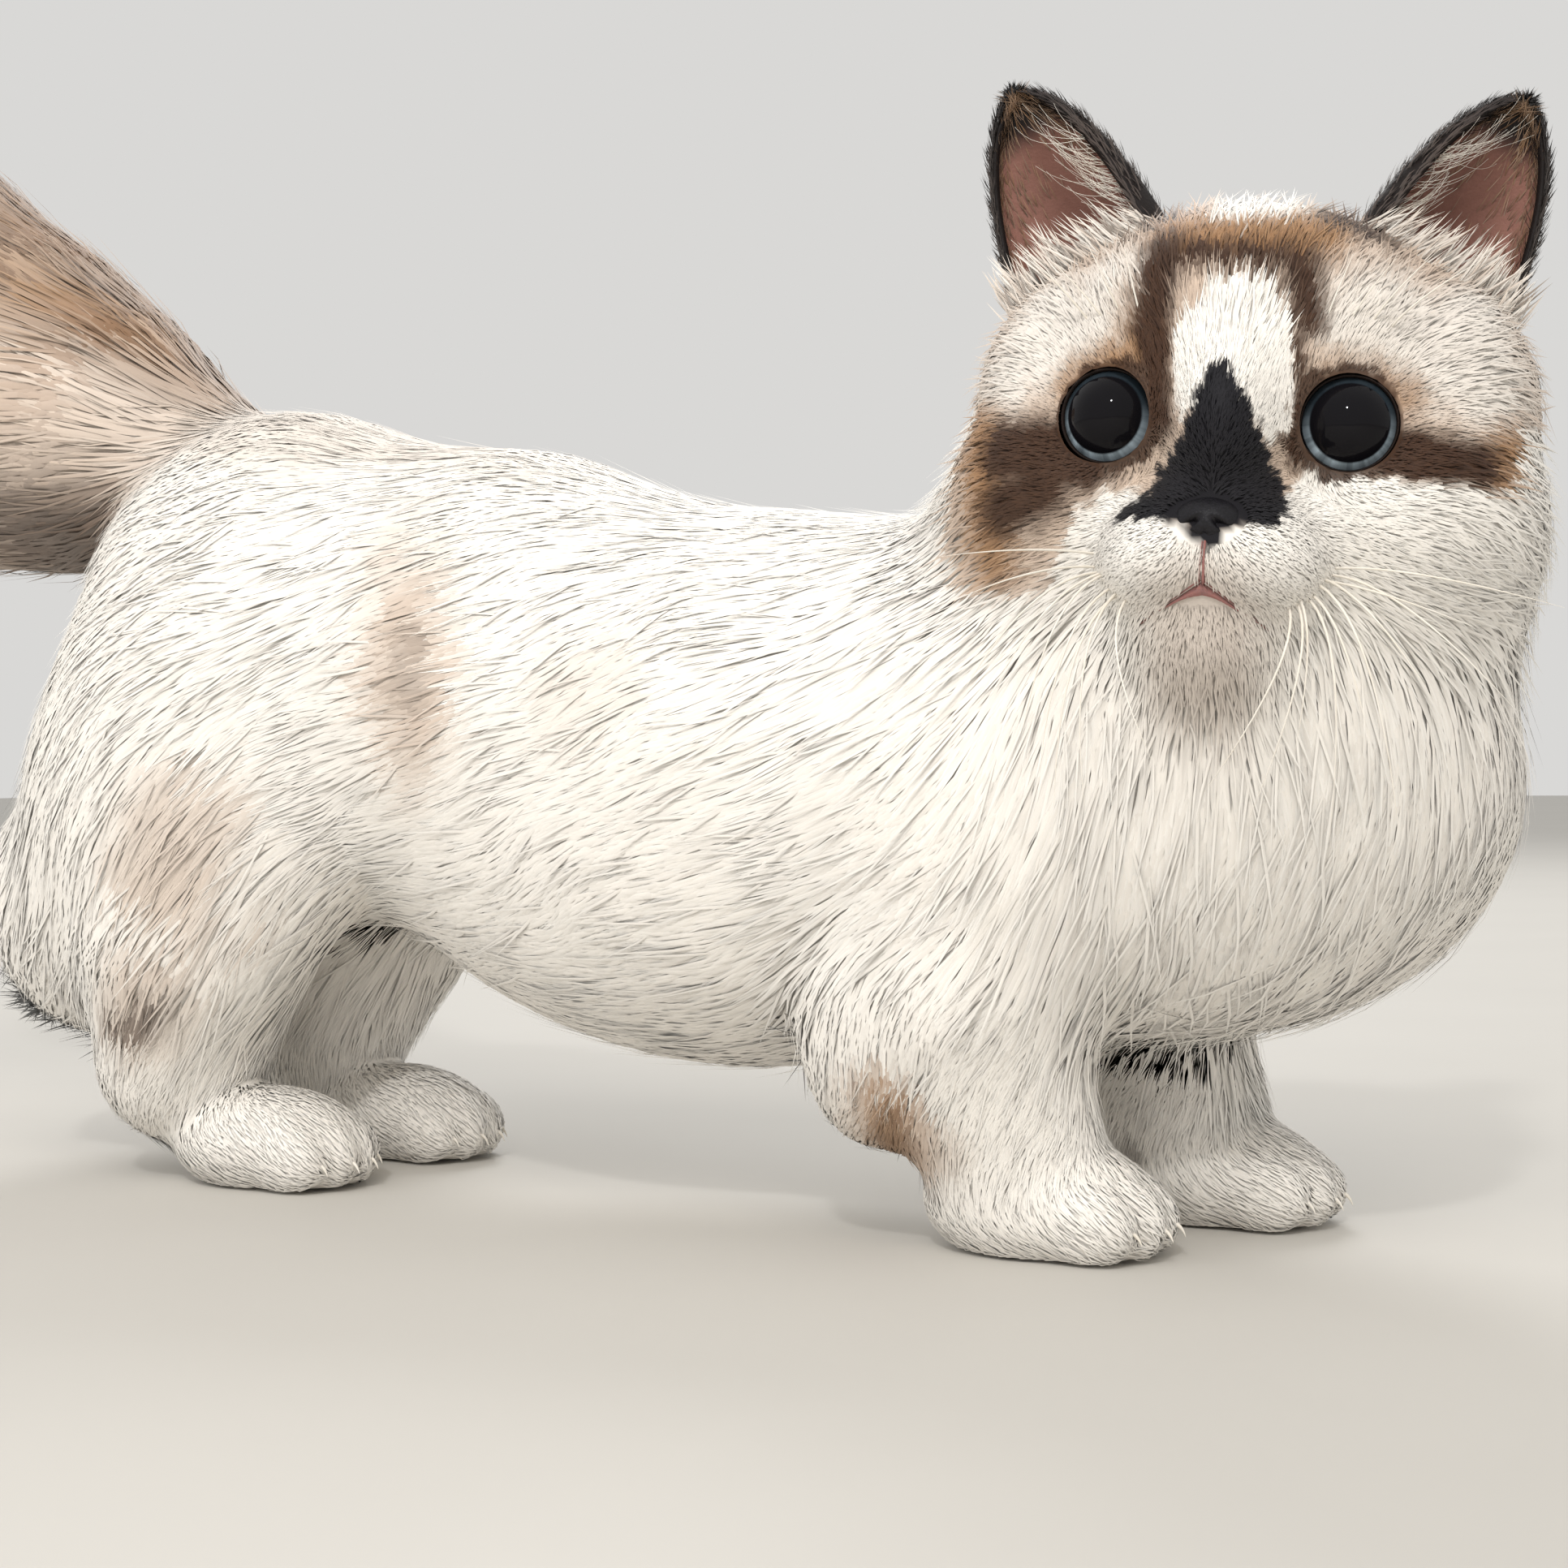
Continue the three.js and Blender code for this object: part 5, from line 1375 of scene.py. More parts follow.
        rise = np.arcsin(np.clip(unit(q - np.array([4, 0, -4]))[:, 2], -1, 1)) / math.pi + 0.5
        face = by_side(Zone.FACE_LEFT, Zone.FACE_RIGHT, q[:, 1])
        lay(main == Part.HEAD, share_round(q[:, 1], q[:, 0] - 4), rise,
            np.where(q[:, 0] > 18, face, number[Zone.CROWN]))
        line = np.interp(x, [-146, -60, 15, 75, 148], [124, 116, 98, 96, 90])
        zones = np.select([main == Part.NECK, x > 62, x < -70],
                          [number[Zone.NECK], number[Zone.CHEST], number[Zone.RUMP]],
                          by_side(Zone.SIDE_LEFT, Zone.SIDE_RIGHT, y))
        lay(np.isin(main, (Part.NECK, Part.TRUNK)), (x + 210) / 430, share_round(y, z - line), zones)
        lay(main == Part.THIGH, 0.5 * share_round(x + 140, z - 75) + 0.5 * (y > 0), (np.abs(y) + 2) / 70,
            by_side(Zone.THIGH_LEFT, Zone.THIGH_RIGHT, y))
        column = (y > 0) + 2 * (x > 0)
        paws = by_side(Zone.FOREPAWS, Zone.HINDPAWS, x)
        for part, zones, centre in ((Part.FORELEG, number[Zone.FORELEGS], 84.0),
                                    (Part.HINDLEG, number[Zone.HINDLEGS], -130.0),
                                    (Part.PAW, paws, np.where(x > 0, 90.0, -120.0))):
            lay(main == part, (column + share_round(np.abs(y) - 27, x - centre)) / 4, z / 110, zones)
        along = self.shape.tail_surface(p)[1]
        near = np.round(along * self.shape.tail_steps).astype(int)
        v = p - self.shape.tail_points[near]
        way = self.shape.tail_ways[near]
        across = np.cross(way, np.array([0, 1.0, 0]))
        lay(main == Part.TAIL, along + (v * way).sum(axis=1) / 220, share_round(v[:, 1], (v * across).sum(axis=1)),
            by_side(Zone.TAIL_END, Zone.TAIL_BASE, along - 0.55))
        return np.clip(flat, 0, 1) * 0.98 + 0.01, piece

    def make(self, material: Material) -> list[Object]:
        """Turns the tufts into joined meshes, one for each zone of the body."""
        rng = np.random.default_rng(self.seed)
        p, share, length = self.roots(rng)
        keep = ~self.bare(p)
        p, share, length = p[keep], share[:, keep], length[keep]
        places, pieces = self.unwrap(p, share)
        log.info("coat: %d tufts", len(p))
        made = []
        for number, zone in enumerate(Zone):
            here = pieces == number
            if here.any():
                tufts = self.grow(zone, p[here], share[:, here], length[here], rng)
                tufts.places = places[here]
                made.append(blades(f"coat_{zone.value[0]}", tufts, zone.stations, self.shape, material))
        return made


def blades(name: str, tufts: Tufts, stations: tuple[float, ...], shape: CatShape, material: Material,
           ridge: float = 0.3, tilt: float = 0.2, patch: float = 0.0014) -> Object:
    """Closed three-sided blades along the paths of some tufts.

    Args:
        name: The piece's name.
        tufts: The tufts of the piece.
        stations: Shares of the length where the paths were drawn.
        shape: The cat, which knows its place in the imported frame.
        material: The coat's finish.
        ridge: Height of the blade's ridge, as a share of half its width.
        tilt: How far the shading leans out at the blade's edges.
        patch: Half the width of a blade's place on the map.

    Returns:
        One mesh with its OFBake map and the coat's values.
    """
    paths, normals = tufts.paths, tufts.normals
    count, steps = len(paths), len(stations) - 1
    tangent = unit(np.gradient(paths, axis=1))
    across = unit(np.cross(tangent, normals))
    up = np.cross(across, tangent)
    profile = np.interp(stations, [0, 0.35, 0.75, 1], [0.75, 1.0, 0.62, 0])
    half = 0.5 * tufts.widths[:, None, None] * profile[None, :, None]
    left, right = paths - across * half, paths + across * half
    top = paths + up * half * ridge
    rings = np.stack([left, top, right], axis=2)[:, :steps]
    vertices = np.concatenate([rings.reshape(count, -1, 3), paths[:, -1:]], axis=1)
    lean = tilt * across
    soft = np.stack([unit(normals - lean), normals, unit(normals + lean)], axis=2)[:, :steps]
    looks = np.concatenate([soft.reshape(count, -1, 3), normals[:, -1:]], axis=1)
    each = 3 * steps + 1
    quads = np.array([[3 * k + i, 3 * k + (i + 1) % 3, 3 * k + 3 + (i + 1) % 3, 3 * k + 3 + i]
                      for k in range(steps - 1) for i in range(3)])
    last = 3 * (steps - 1)
    triangles = np.array([[last + i, last + (i + 1) % 3, each - 1] for i in range(3)] + [[2, 1, 0]])
    offset = (np.arange(count) * each)[:, None, None]
    faces = [(quads[None] + offset).reshape(-1, 4), (triangles[None] + offset).reshape(-1, 3)]
    thing = mesh_object(name, shape.packed(vertices.reshape(-1, 3)), faces, material)
    along = np.append(np.repeat(np.array(stations[:-1]), 3), 1.0)
    set_values(thing, "marking", np.repeat(tufts.marks, each, axis=0))
    set_values(thing, "strand", np.repeat(tufts.strands, each))
    set_values(thing, "along", np.tile(along, count))
    corner = np.empty(len(thing.data.loops), np.int32)
    thing.data.loops.foreach_get("vertex_index", corner)
    spread = np.array([[-patch, 0], [0, patch], [patch, 0]])
    local = np.concatenate([np.tile(spread, (steps, 1)), [[0, -patch]]])
    flat = (tufts.places[:, None] + local[None]).reshape(-1, 2)[corner]
    thing.data.uv_layers.new(name="OFBake").data.foreach_set("uv", flat.astype(np.float32).ravel())
    thing.data.normals_split_custom_set_from_vertices(looks.reshape(-1, 3).astype(np.float32))
    return thing


@dataclass
class Eye:
    """An eyeball with its cornea, and the dark edge of the lids that lies on it."""

    shape: CatShape
    side: Side
    bulge: float = 0.9
    rings: int = 48
    around: int = 64
    opening: float = 8.45
    lid_around: int = 96
    corner_reach: float = 0.35
    lid_profile: tuple[tuple[float, float, bool], ...] = (
        (0.0, 0.02, True), (0.08, 0.35, True), (0.22, 0.3, False), (0.45, 0.3, False), (0.8, 0.0, False),
        (1.3, -0.8, False), (1.0, -1.8, False), (0.4, -0.5, True))

    def ringed(self, ahead: Array, radius: Array, angle: Array) -> Array:
        """Places round the eye's axis in the head's frame.

        Args:
            ahead: How far each lies ahead of the eye's middle.
            radius: How far it lies off the axis.
            angle: Its angle round the axis, from the cat's left.

        Returns:
            The places, with one more dimension than the lengths.
        """
        turn, side = math.radians(self.shape.eye_turn), self.side.value
        out = np.array([-math.sin(turn) * side, math.cos(turn), 0])
        place = self.shape.eye_centre(side) + ahead[..., None] * self.shape.eye_way(side)
        place = place + (radius * np.cos(angle))[..., None] * out
        return place + (radius * np.sin(angle))[..., None] * np.array([0, 0, 1.0])

    def ball(self, material: Material) -> Object:
        """The eyeball."""
        t, f = ball_angles(self.rings, self.around, 0.002)
        radius = self.shape.eye_radius + self.bulge * (1 - smooth(t, 0.1, 0.95))
        flat = radius * np.sin(t)
        q = self.ringed(radius * np.cos(t), flat, f).reshape(-1, 3)
        thing = mesh_object(f"eye_ball_{self.side.label}", self.shape.packed_head(q),
                            tube_faces(self.rings, self.around), material)
        set_values(thing, "ring", (flat / self.opening).ravel())
        # Painted light on the iris: near 1 at its bottom, where it is painted lit, near 0 at its top, where it is
        # painted shaded.
        set_values(thing, "low", (0.03 + 0.97 * smooth(-np.sin(f), -0.45, 0.9)).ravel())
        set_values(thing, "spoke", (f / (2 * math.pi)).ravel())
        return thing

    def lids(self, material: Material) -> Object:
        """The lids' edge: a ring whose inner lip lies on the ball and whose outer one is under the fur."""
        phi = np.linspace(0, 2 * math.pi, self.lid_around, endpoint=False)
        corner = math.pi + 0.35 if self.side is Side.LEFT else -0.35
        inner = np.exp(-((np.angle(np.exp(1j * (phi - corner)))) / 0.26) ** 2)
        rows = []
        for off, rise, on_ball in self.lid_profile:
            radius = self.opening + off + self.corner_reach * inner
            reach = self.shape.eye_radius + (0 if on_ball else self.shape.lid_height)
            ahead = np.sqrt(np.maximum(reach**2 - radius**2, 0.5)) + rise
            rows.append(self.ringed(ahead, radius, phi))
        q = np.stack(rows, axis=1).reshape(-1, 3)
        count = len(rows)
        r, c = np.meshgrid(np.arange(self.lid_around), np.arange(count), indexing="ij")
        this, after, right = r * count, (r + 1) % self.lid_around * count, (c + 1) % count
        faces = np.stack([this + c, after + c, after + right, this + right], axis=-1).reshape(-1, 4)
        first = q[faces[1]]
        if np.cross(first[1] - first[0], first[2] - first[0]) @ self.shape.eye_way(self.side.value) < 0:
            faces = faces[:, ::-1]
        return mesh_object(f"lid_rim_{self.side.label}", self.shape.packed_head(q), [faces], material)


@dataclass
class Nose:
    """The nose leather with its two nostrils and the crease below."""

    shape: CatShape
    rows: int = 72
    columns: int = 120
    size: Triple = (5.2, 6.6, 5.0)
    back: float = 0.9
    nostril: float = 1.7
    crease: float = 0.5

    def make(self, material: Material) -> Object:
        """Presses the nostrils and the crease into a grid that narrows to a point below."""
        t, f = ball_angles(self.rows, self.columns, 0.01)
        d = np.stack([np.cos(t), np.sin(t) * np.cos(f), np.sin(t) * np.sin(f)], axis=-1).reshape(-1, 3)
        q = d * np.array(self.size) - (self.back, 0, 0)
        q[:, 1] *= 1 - 0.62 * smooth(-q[:, 2], -0.5, 5)
        pit = np.zeros(len(q))
        for side in (1, -1):
            y, z = side * q[:, 1] - 3.2, q[:, 2] + 0.4
            pit += np.exp(-((y / 1.8) ** 2 + ((y * 0.6 + z) / 0.85) ** 2) ** 1.5) * (q[:, 0] > 0)
        crease = np.exp(-(q[:, 1] / 0.5) ** 2) * smooth(-q[:, 2], 0.3, 2.5) * (q[:, 0] > 0)
        q -= d * (self.nostril * pit + self.crease * crease)[:, None]
        q += np.array(self.shape.nose_at)
        return mesh_object("nose_pad", self.shape.packed_head(q), tube_faces(self.rows, self.columns), material)


@dataclass
class Lips:
    """The crease below the nose and the lips that part from its foot, as soft strips on the skin."""

    shape: CatShape
    profile: Pairs = (
        (-1.0, -0.35), (-0.6, 0.4), (-0.2, -0.1), (0.3, 0.5), (0.7, 0.4), (1.0, -0.35))
    sunk: float = 1.6

    def settle(self, q: Array) -> tuple[Array, Array]:
        """Moves places of the head onto the skin, and gives its outward direction there."""
        p = self.shape.head.outside(q)
        for _ in range(3):
            p -= slope(self.shape.skin, p) * self.shape.skin(p)[:, None]
        return p, slope(self.shape.skin, p)

    def strip(self, line: Array, above: Array, below: Array, lift: float) -> tuple[Array, tuple, Array]:
        """One strip along a line.

        Args:
            line: Places in the head's frame.
            above: How far the strip reaches to its upper side at each place.
            below: How far it reaches to its lower side.
            lift: How proud it stands, as a share of its profile.

        Returns:
            Places, faces with the two ends, and the share of the crease's painted shade at each place.
        """
        p, normal = self.settle(line)
        tangent = unit(np.gradient(p, axis=0))
        down = np.cross(normal, tangent)
        down *= np.where((down @ np.array([0, 0, -1.0])).sum() < 0, -1, 1)
        rows = []
        for across, rise in self.profile:
            wide = np.where(across < 0, above, below) * across
            rows.append(p + down * wide[:, None] + normal * (rise * lift))
        rows.append(p + down * (0.7 * below)[:, None] - normal * self.sunk)
        rows.append(p - down * (0.7 * above)[:, None] - normal * self.sunk)
        points = np.stack(rows, axis=1).reshape(-1, 3)
        faces, *ends = tube_faces(len(p), len(rows))
        first = points[faces[1]]
        if np.cross(first[1] - first[0], first[2] - first[0]) @ normal[0] < 0:
            faces, ends = faces[:, ::-1], [end[:, ::-1] for end in ends]
        across = np.array([row[0] for row in self.profile] + [1.0, -1.0])
        # Where the crease's painted shade goes, across the strip.
        crease = np.tile(np.exp(-((across + 0.2) / 0.3) ** 2), len(p))
        return points, (faces, ends), crease

    def make(self, material: Material) -> Object:
        """Joins the three strips."""
        points, faces, ends, creases = np.zeros((0, 3)), [], [], []
        for number, line in enumerate(self.shape.mouth_lines()):
            run = np.linspace(0, 1, len(line))
            if number == 0:
                above = below = 0.5 + 0.25 * run
            else:
                above = 0.65 - 0.35 * run
                below = 0.6 + 2.6 * np.exp(-((run * 12) / 3.6) ** 2) - 0.35 * run
            more, (sides, caps), crease = self.strip(line, above, below, 1.0 if number else 2.2)
            faces.append(sides + len(points))
            ends += [cap + len(points) for cap in caps]
            points = np.vstack([points, more])
            creases.append(crease)
        thing = mesh_object("lips", self.shape.packed(points), [np.vstack(faces), *ends], material)
        set_values(thing, "crease", np.concatenate(creases))
        return thing


@dataclass
class Ear:
    """An ear as a thin cupped shell, with the fur on its back and rim and the pale fringe before its foot."""

    shape: CatShape
    leaf: EarShape
    side: Side
    rows: int = 44
    columns: int = 52
    wall: float = 1.3
    mouth: float = 60.0
    hairs: int = 2300
    fringe: int = 420
    threads: int = 60
    down: int = 1100

    def frame(self) -> tuple[Array, Array, Array, Array, float]:
        """The ear's root, the directions up, across and forward, and its height."""
        root, tip = np.array(self.leaf.root), np.array(self.leaf.tip)
        up = unit(tip - root)
        front = np.array(self.leaf.facing)
        front = unit(front - (front @ up) * up)
        return root, up, np.cross(up, front), front, float(np.linalg.norm(tip - root))

    def row_shares(self) -> Array:
        """How far up the ear each row of the shell lies, closer together at the tip."""
        return 1 - (1 - np.linspace(0, 1, self.rows)) ** 1.8

    def sheet(self, inset: float) -> Array:
        """One side of the shell in the head's frame."""
        root, up, across, front, height = self.frame()
        s = self.row_shares()
        angle = np.radians(np.linspace(self.mouth, 360 - self.mouth, self.columns))
        narrow = np.sqrt(np.maximum(1 - s**self.leaf.blunt, 0)) * (1 - self.leaf.taper * s)
        w = np.maximum(self.leaf.width * narrow - inset, 0.05)
        d = np.maximum(self.leaf.depth * narrow * (1 - 0.35 * s) - inset, 0.05)
        along = s * (height - inset * 0.8 + self.leaf.sunk) - self.leaf.sunk
        q = root + along[:, None, None] * up + (w[:, None] * np.sin(angle)[None])[..., None] * across
        return q + (d[:, None] * np.cos(angle)[None])[..., None] * front

    def shell(self, material: Material) -> Object:
        """Closes the two sheets along the rim into one shell."""
        outer, inner = self.sheet(0), self.sheet(self.wall)
        count = self.rows * self.columns
        q = np.concatenate([outer.reshape(-1, 3), inner.reshape(-1, 3)])
        sheet = grid_faces(self.rows, self.columns, False)
        index = np.arange(count).reshape(self.rows, self.columns)
        loop = np.concatenate([index[0, :], index[1:, -1], index[-1, -2::-1], index[-2:0:-1, 0]])
        after = np.roll(loop, -1)
        rim = np.stack([loop, after, after + count, loop + count], axis=1)
        root = self.frame()[0]
        facing = np.cross(q[sheet[0, 1]] - q[sheet[0, 0]], q[sheet[0, 2]] - q[sheet[0, 0]])
        if facing @ (q[sheet[0, 0]] - root) < 0:
            faces = [sheet[:, ::-1], sheet + count, rim]
        else:
            faces = [sheet, (sheet + count)[:, ::-1], rim[:, ::-1]]
        thing = mesh_object(f"ear_shell_{self.side.label}", self.shape.packed_head(q), [np.concatenate(faces)],
                            material)
        cup = np.concatenate([np.zeros(count), np.ones(count)])
        edge = np.abs(np.linspace(-1, 1, self.columns))
        up_share = self.row_shares()
        wide = 0.80 - 0.22 * up_share[:, None]
        rim_dark = np.maximum(smooth((edge[None] - wide) / 0.16, 0, 1), smooth(up_share, 0.80, 0.93)[:, None]).ravel()
        cup[count:] -= rim_dark
        set_values(thing, "cup", np.clip(cup, 0, 1))
        # Painted shade: the cup's middle and foot, where shade falls, get the darker tone.
        painted_shade = np.maximum(0.6 * (1 - smooth(edge, 0.0, 0.45)[None]), 1 - smooth(up_share, 0.22, 0.5)[:, None]).ravel()
        set_values(thing, "floor", np.concatenate([painted_shade, painted_shade]))
        return thing

    def on_sheet(self, inset: float, r: Array, c: Array) -> tuple[Array, Array, Array, Array]:
        """Places on a side of the shell.

        Args:
            inset: How far the side lies inside the outer one.
            r: Rows, also between the grid's own.
            c: Columns, in the same way.

        Returns:
            The places, the directions up and around there, and the normals away from the ear's middle.
        """
        sheet = self.sheet(inset)
        i, j = r.astype(int), c.astype(int)
        a, b = (r - i)[:, None], (c - j)[:, None]
        p = ((sheet[i, j] * (1 - a) + sheet[i + 1, j] * a) * (1 - b)
             + (sheet[i, j + 1] * (1 - a) + sheet[i + 1, j + 1] * a) * b)
        rise = unit(sheet[i + 1, j] - sheet[i, j])
        around = unit(sheet[i, j + 1] - sheet[i, j])
        normal = np.cross(rise, around)
        root, up = self.frame()[:2]
        middle = root + ((p - root) @ up)[:, None] * up
        return p, rise, around, normal * np.sign(((p - middle) * normal).sum(axis=1, keepdims=True))

    def back_tufts(self, rng: Rng) -> Tufts:
        """Short dark fur over the back and out past the rim."""
        n = self.hairs
        r = (self.rows - 1.01) * rng.random(n) ** 0.8
        c = (self.columns - 1.01) * (0.5 + 0.5 * np.clip(rng.uniform(-1.12, 1.12, n), -1, 1))
        p, rise, around, normal = self.on_sheet(0, r, c)
        edge = (c / (self.columns - 1) * 2 - 1)[:, None]
        flow = unit(rise + 0.35 * around * edge + 0.25 * unit(rng.normal(size=(n, 3))))
        length = rng.uniform(2.6, 5.2, n)[:, None]
        path = [p - 0.3 * normal, p + flow * length * 0.5 + 0.45 * normal, p + flow * length + 0.7 * normal]
        root, up, _, _, height = self.frame()
        marks = np.zeros((n, 3))
        marks[:, 1] = 0.92
        marks[:, 2] = 0.45 + 0.3 * smooth(((p - root) @ up) / height, 0.55, 0.9)
        places = np.stack([c / self.columns, r / self.rows], axis=1) * 0.45 + 0.02
        return self.batch(path, normal, rng.uniform(0.32, 0.55, n), marks, places, rng)

    def cup_tufts(self, rng: Rng) -> Tufts:
        """Fine short hair inside the cup, thicker towards its edges."""
        n = self.down
        edge = np.sign(rng.uniform(-1, 1, n)) * rng.random(n) ** 0.6 * 0.98
        r = (self.rows - 1.01) * rng.uniform(0.18, 0.97, n)
        c = (self.columns - 1.01) * (0.5 + 0.5 * edge)
        p, rise, around, outward = self.on_sheet(self.wall, r, c)
        normal = -outward
        flow = unit(rise + 0.5 * around * edge[:, None] + 0.25 * unit(rng.normal(size=(n, 3))))
        length = rng.uniform(3, 6, n)[:, None]
        path = [p - 0.2 * normal, p + flow * length * 0.5 + 0.7 * normal, p + flow * length + 1.1 * normal]
        dark = smooth(np.abs(edge), 0.7, 0.95) * (rng.random(n) < 0.75)
        marks = np.zeros((n, 3))
        marks[:, 0] = rng.uniform(0.75, 1, n)
        marks[:, 1] = np.maximum(dark, rng.uniform(0.3, 0.75, n))
        places = np.stack([0.5 + c / self.columns * 0.45, r / self.rows * 0.45 + 0.02], axis=1)
        return self.batch(path, normal, rng.uniform(0.12, 0.2, n), marks, places, rng)

    def fringe_tufts(self, rng: Rng) -> Tufts:
        """Long pale hair that stands before the ear's foot."""
        root, up, across, front, _ = self.frame()
        n = self.fringe
        t = rng.uniform(-1, 1, n)
        p = root + (self.leaf.width * 0.94 * t)[:, None] * across + (rng.uniform(-5, 2.5, n))[:, None] * up
        p = p + (self.leaf.depth * (0.42 - 0.25 * t**2) + rng.uniform(-1.5, 3, n))[:, None] * front
        outward = np.array([0, float(self.side.value), 0])
        flow = unit(0.85 * up + 0.42 * outward + 0.22 * front - 0.3 * t[:, None] * across
                    + 0.28 * unit(rng.normal(size=(n, 3))))
        length = (rng.uniform(7, 14, n) * (1 - 0.25 * np.abs(t)))[:, None]
        bend = 0.12 * length * front
        path = [p - 2 * flow, p + flow * length * 0.5 + bend, p + flow * length + 0.2 * bend]
        marks = np.zeros((n, 3))
        marks[:, 0] = rng.uniform(0.05, 0.4, n)
        marks[:, 1] = np.where(rng.random(n) < 0.12, 0.6, 0)
        places = np.stack([0.5 + 0.4 * (t + 1) / 2, rng.uniform(0.55, 0.95, n)], axis=1)
        return self.batch(path, np.tile(front, (n, 1)), rng.uniform(0.3, 0.5, n), marks, places, rng)

    def batch(self, path: list[Array], normal: Array, widths: Array, marks: Array, places: Array,
              rng: Rng) -> Tufts:
        """Turns paths of the head's frame into tufts on the cat.

        Args:
            path: The tufts' points, station by station.
            normal: Each tuft's outward side.
            widths: Each tuft's width.
            marks: Its colour shares.
            places: Its place on the patch sheet.
            rng: Where chance comes from.

        Returns:
            The tufts.
        """
        paths = self.shape.head.outside(np.stack(path, axis=1))
        looks = self.shape.head.turned(np.stack([normal] * len(path), axis=1))
        return Tufts(paths, looks, widths, marks, rng.random(len(widths)), places)

    def fur(self, seed: int, material: Material) -> list[Object]:
        """The fur of the back, the fringe and the down inside."""
        rng = np.random.default_rng(seed)
        return [blades(f"ear_{name}_{self.side.label}", tufts(rng), Zone.CROWN.stations, self.shape, material)
                for name, tufts in (("back_fur", self.back_tufts), ("fringe", self.fringe_tufts),
                                    ("down", self.cup_tufts))]

    def thread_lines(self, seed: int) -> list[Array]:
        """Fine long hairs that cross the cup from its inner edge."""
        rng = np.random.default_rng(seed)
        root, up, across, front, height = self.frame()
        inward = -self.side.value * (1 if across[1] > 0 else -1)
        lines = []
        for _ in range(self.threads):
            s = rng.uniform(0.05, 0.62)
            start = root + up * height * s + across * inward * self.leaf.width * (0.82 - 0.45 * s)
            start = start + front * self.leaf.depth * 0.2
            first = unit(0.5 * up - 0.75 * inward * across + 0.35 * front + 0.25 * rng.normal(size=3))
            last = unit(0.95 * up - 0.25 * inward * across - 0.1 * front + 0.25 * rng.normal(size=3))
            t = np.linspace(0, 1, 10)[:, None]
            steps = unit(first * (1 - t) + last * t) * rng.uniform(9, 19) / 9
            lines.append(start + np.vstack([[0, 0, 0], np.cumsum(steps[1:], axis=0)]))
        return [self.shape.packed_head(line) for line in lines]


@dataclass
class HairTree:
    """A Geometry Nodes tree that gives guide curves a tapered round body."""

    name: str
    material: Material

    def build(self) -> NodeTree:
        """Makes the tree with its named inputs for the root's radius, the sides and the steps."""
        tree = bpy.data.node_groups.new(self.name, "GeometryNodeTree")
        for label, way, kind in (("Geometry", "INPUT", "Geometry"), ("Root Radius", "INPUT", "Float"),
                                 ("Sides", "INPUT", "Int"), ("Steps", "INPUT", "Int"),
                                 ("Geometry", "OUTPUT", "Geometry")):
            tree.interface.new_socket(label, in_out=way, socket_type=f"NodeSocket{kind}")
        start = add_node(tree, "NodeGroupInput")
        even = add_node(tree, "GeometryNodeResampleCurve", {"Curve": start.outputs["Geometry"],
                                                            "Count": start.outputs["Steps"]})
        along = add_node(tree, "GeometryNodeSplineParameter")
        left = add_node(tree, "ShaderNodeMath", {0: 1.0, 1: along.outputs["Factor"]}, operation="SUBTRACT")
        taper = add_node(tree, "ShaderNodeMath", {0: left.outputs[0], 1: 0.7}, operation="POWER")
        thick = add_node(tree, "ShaderNodeMath", {0: taper.outputs[0], 1: start.outputs["Root Radius"]},
                         operation="MULTIPLY")
        least = add_node(tree, "ShaderNodeMath", {0: thick.outputs[0], 1: 0.00003}, operation="MAXIMUM")
        sized = add_node(tree, "GeometryNodeSetCurveRadius", {"Curve": even.outputs[0], "Radius": least.outputs[0]})
        ring = add_node(tree, "GeometryNodeCurvePrimitiveCircle",
                        {"Resolution": start.outputs["Sides"], "Radius": 1.0})
        body = add_node(tree, "GeometryNodeCurveToMesh", {"Curve": sized.outputs[0],
                                                          "Profile Curve": ring.outputs["Curve"], "Fill Caps": True})
        if "Scale" in body.inputs:
            tree.links.new(least.outputs[0], body.inputs["Scale"])
        real = add_node(tree, "GeometryNodeRealizeInstances", {0: body.outputs[0]})
        dressed = add_node(tree, "GeometryNodeSetMaterial", {"Geometry": real.outputs[0], "Material": self.material})
        add_node(tree, "NodeGroupOutput", {0: dressed.outputs[0]})
        return tree

    def grow(self, name: str, guides: list[Array], radius: float, sides: int, steps: int) -> Object:
        """Runs the tree on guide curves and keeps the result as a plain mesh.

        Args:
            name: The piece's name.
            guides: Points of each curve, in metres.
            radius: The radius at the root, in metres.
            sides: Sides of the round body.
            steps: Points along each curve.

        Returns:
            The mesh object.
        """
        curve = bpy.data.curves.new(name + "_guides", "CURVE")
        curve.dimensions = "3D"
        for points in guides:
            spline = curve.splines.new("POLY")
            spline.points.add(len(points) - 1)
            corners = np.column_stack([points, np.ones(len(points))])
            spline.points.foreach_set("co", corners.astype(np.float32).ravel())
        source = add_object(name + "_guides", curve)
        tree = self.build()
        modifier = source.modifiers.new("hairs", "NODES")
        modifier.node_group = tree
        ids = {item.name: item.identifier for item in tree.interface.items_tree if item.in_out == "INPUT"}
        for label, value in (("Root Radius", radius), ("Sides", sides), ("Steps", steps)):
            modifier[ids[label]] = value
        graph = bpy.context.evaluated_depsgraph_get()
        mesh = bpy.data.meshes.new_from_object(source.evaluated_get(graph))
        source.modifiers.clear()
        bpy.data.objects.remove(source)
        mesh.name = name
        if not mesh.materials:
            mesh.materials.append(self.material)
        return add_object(name, mesh)


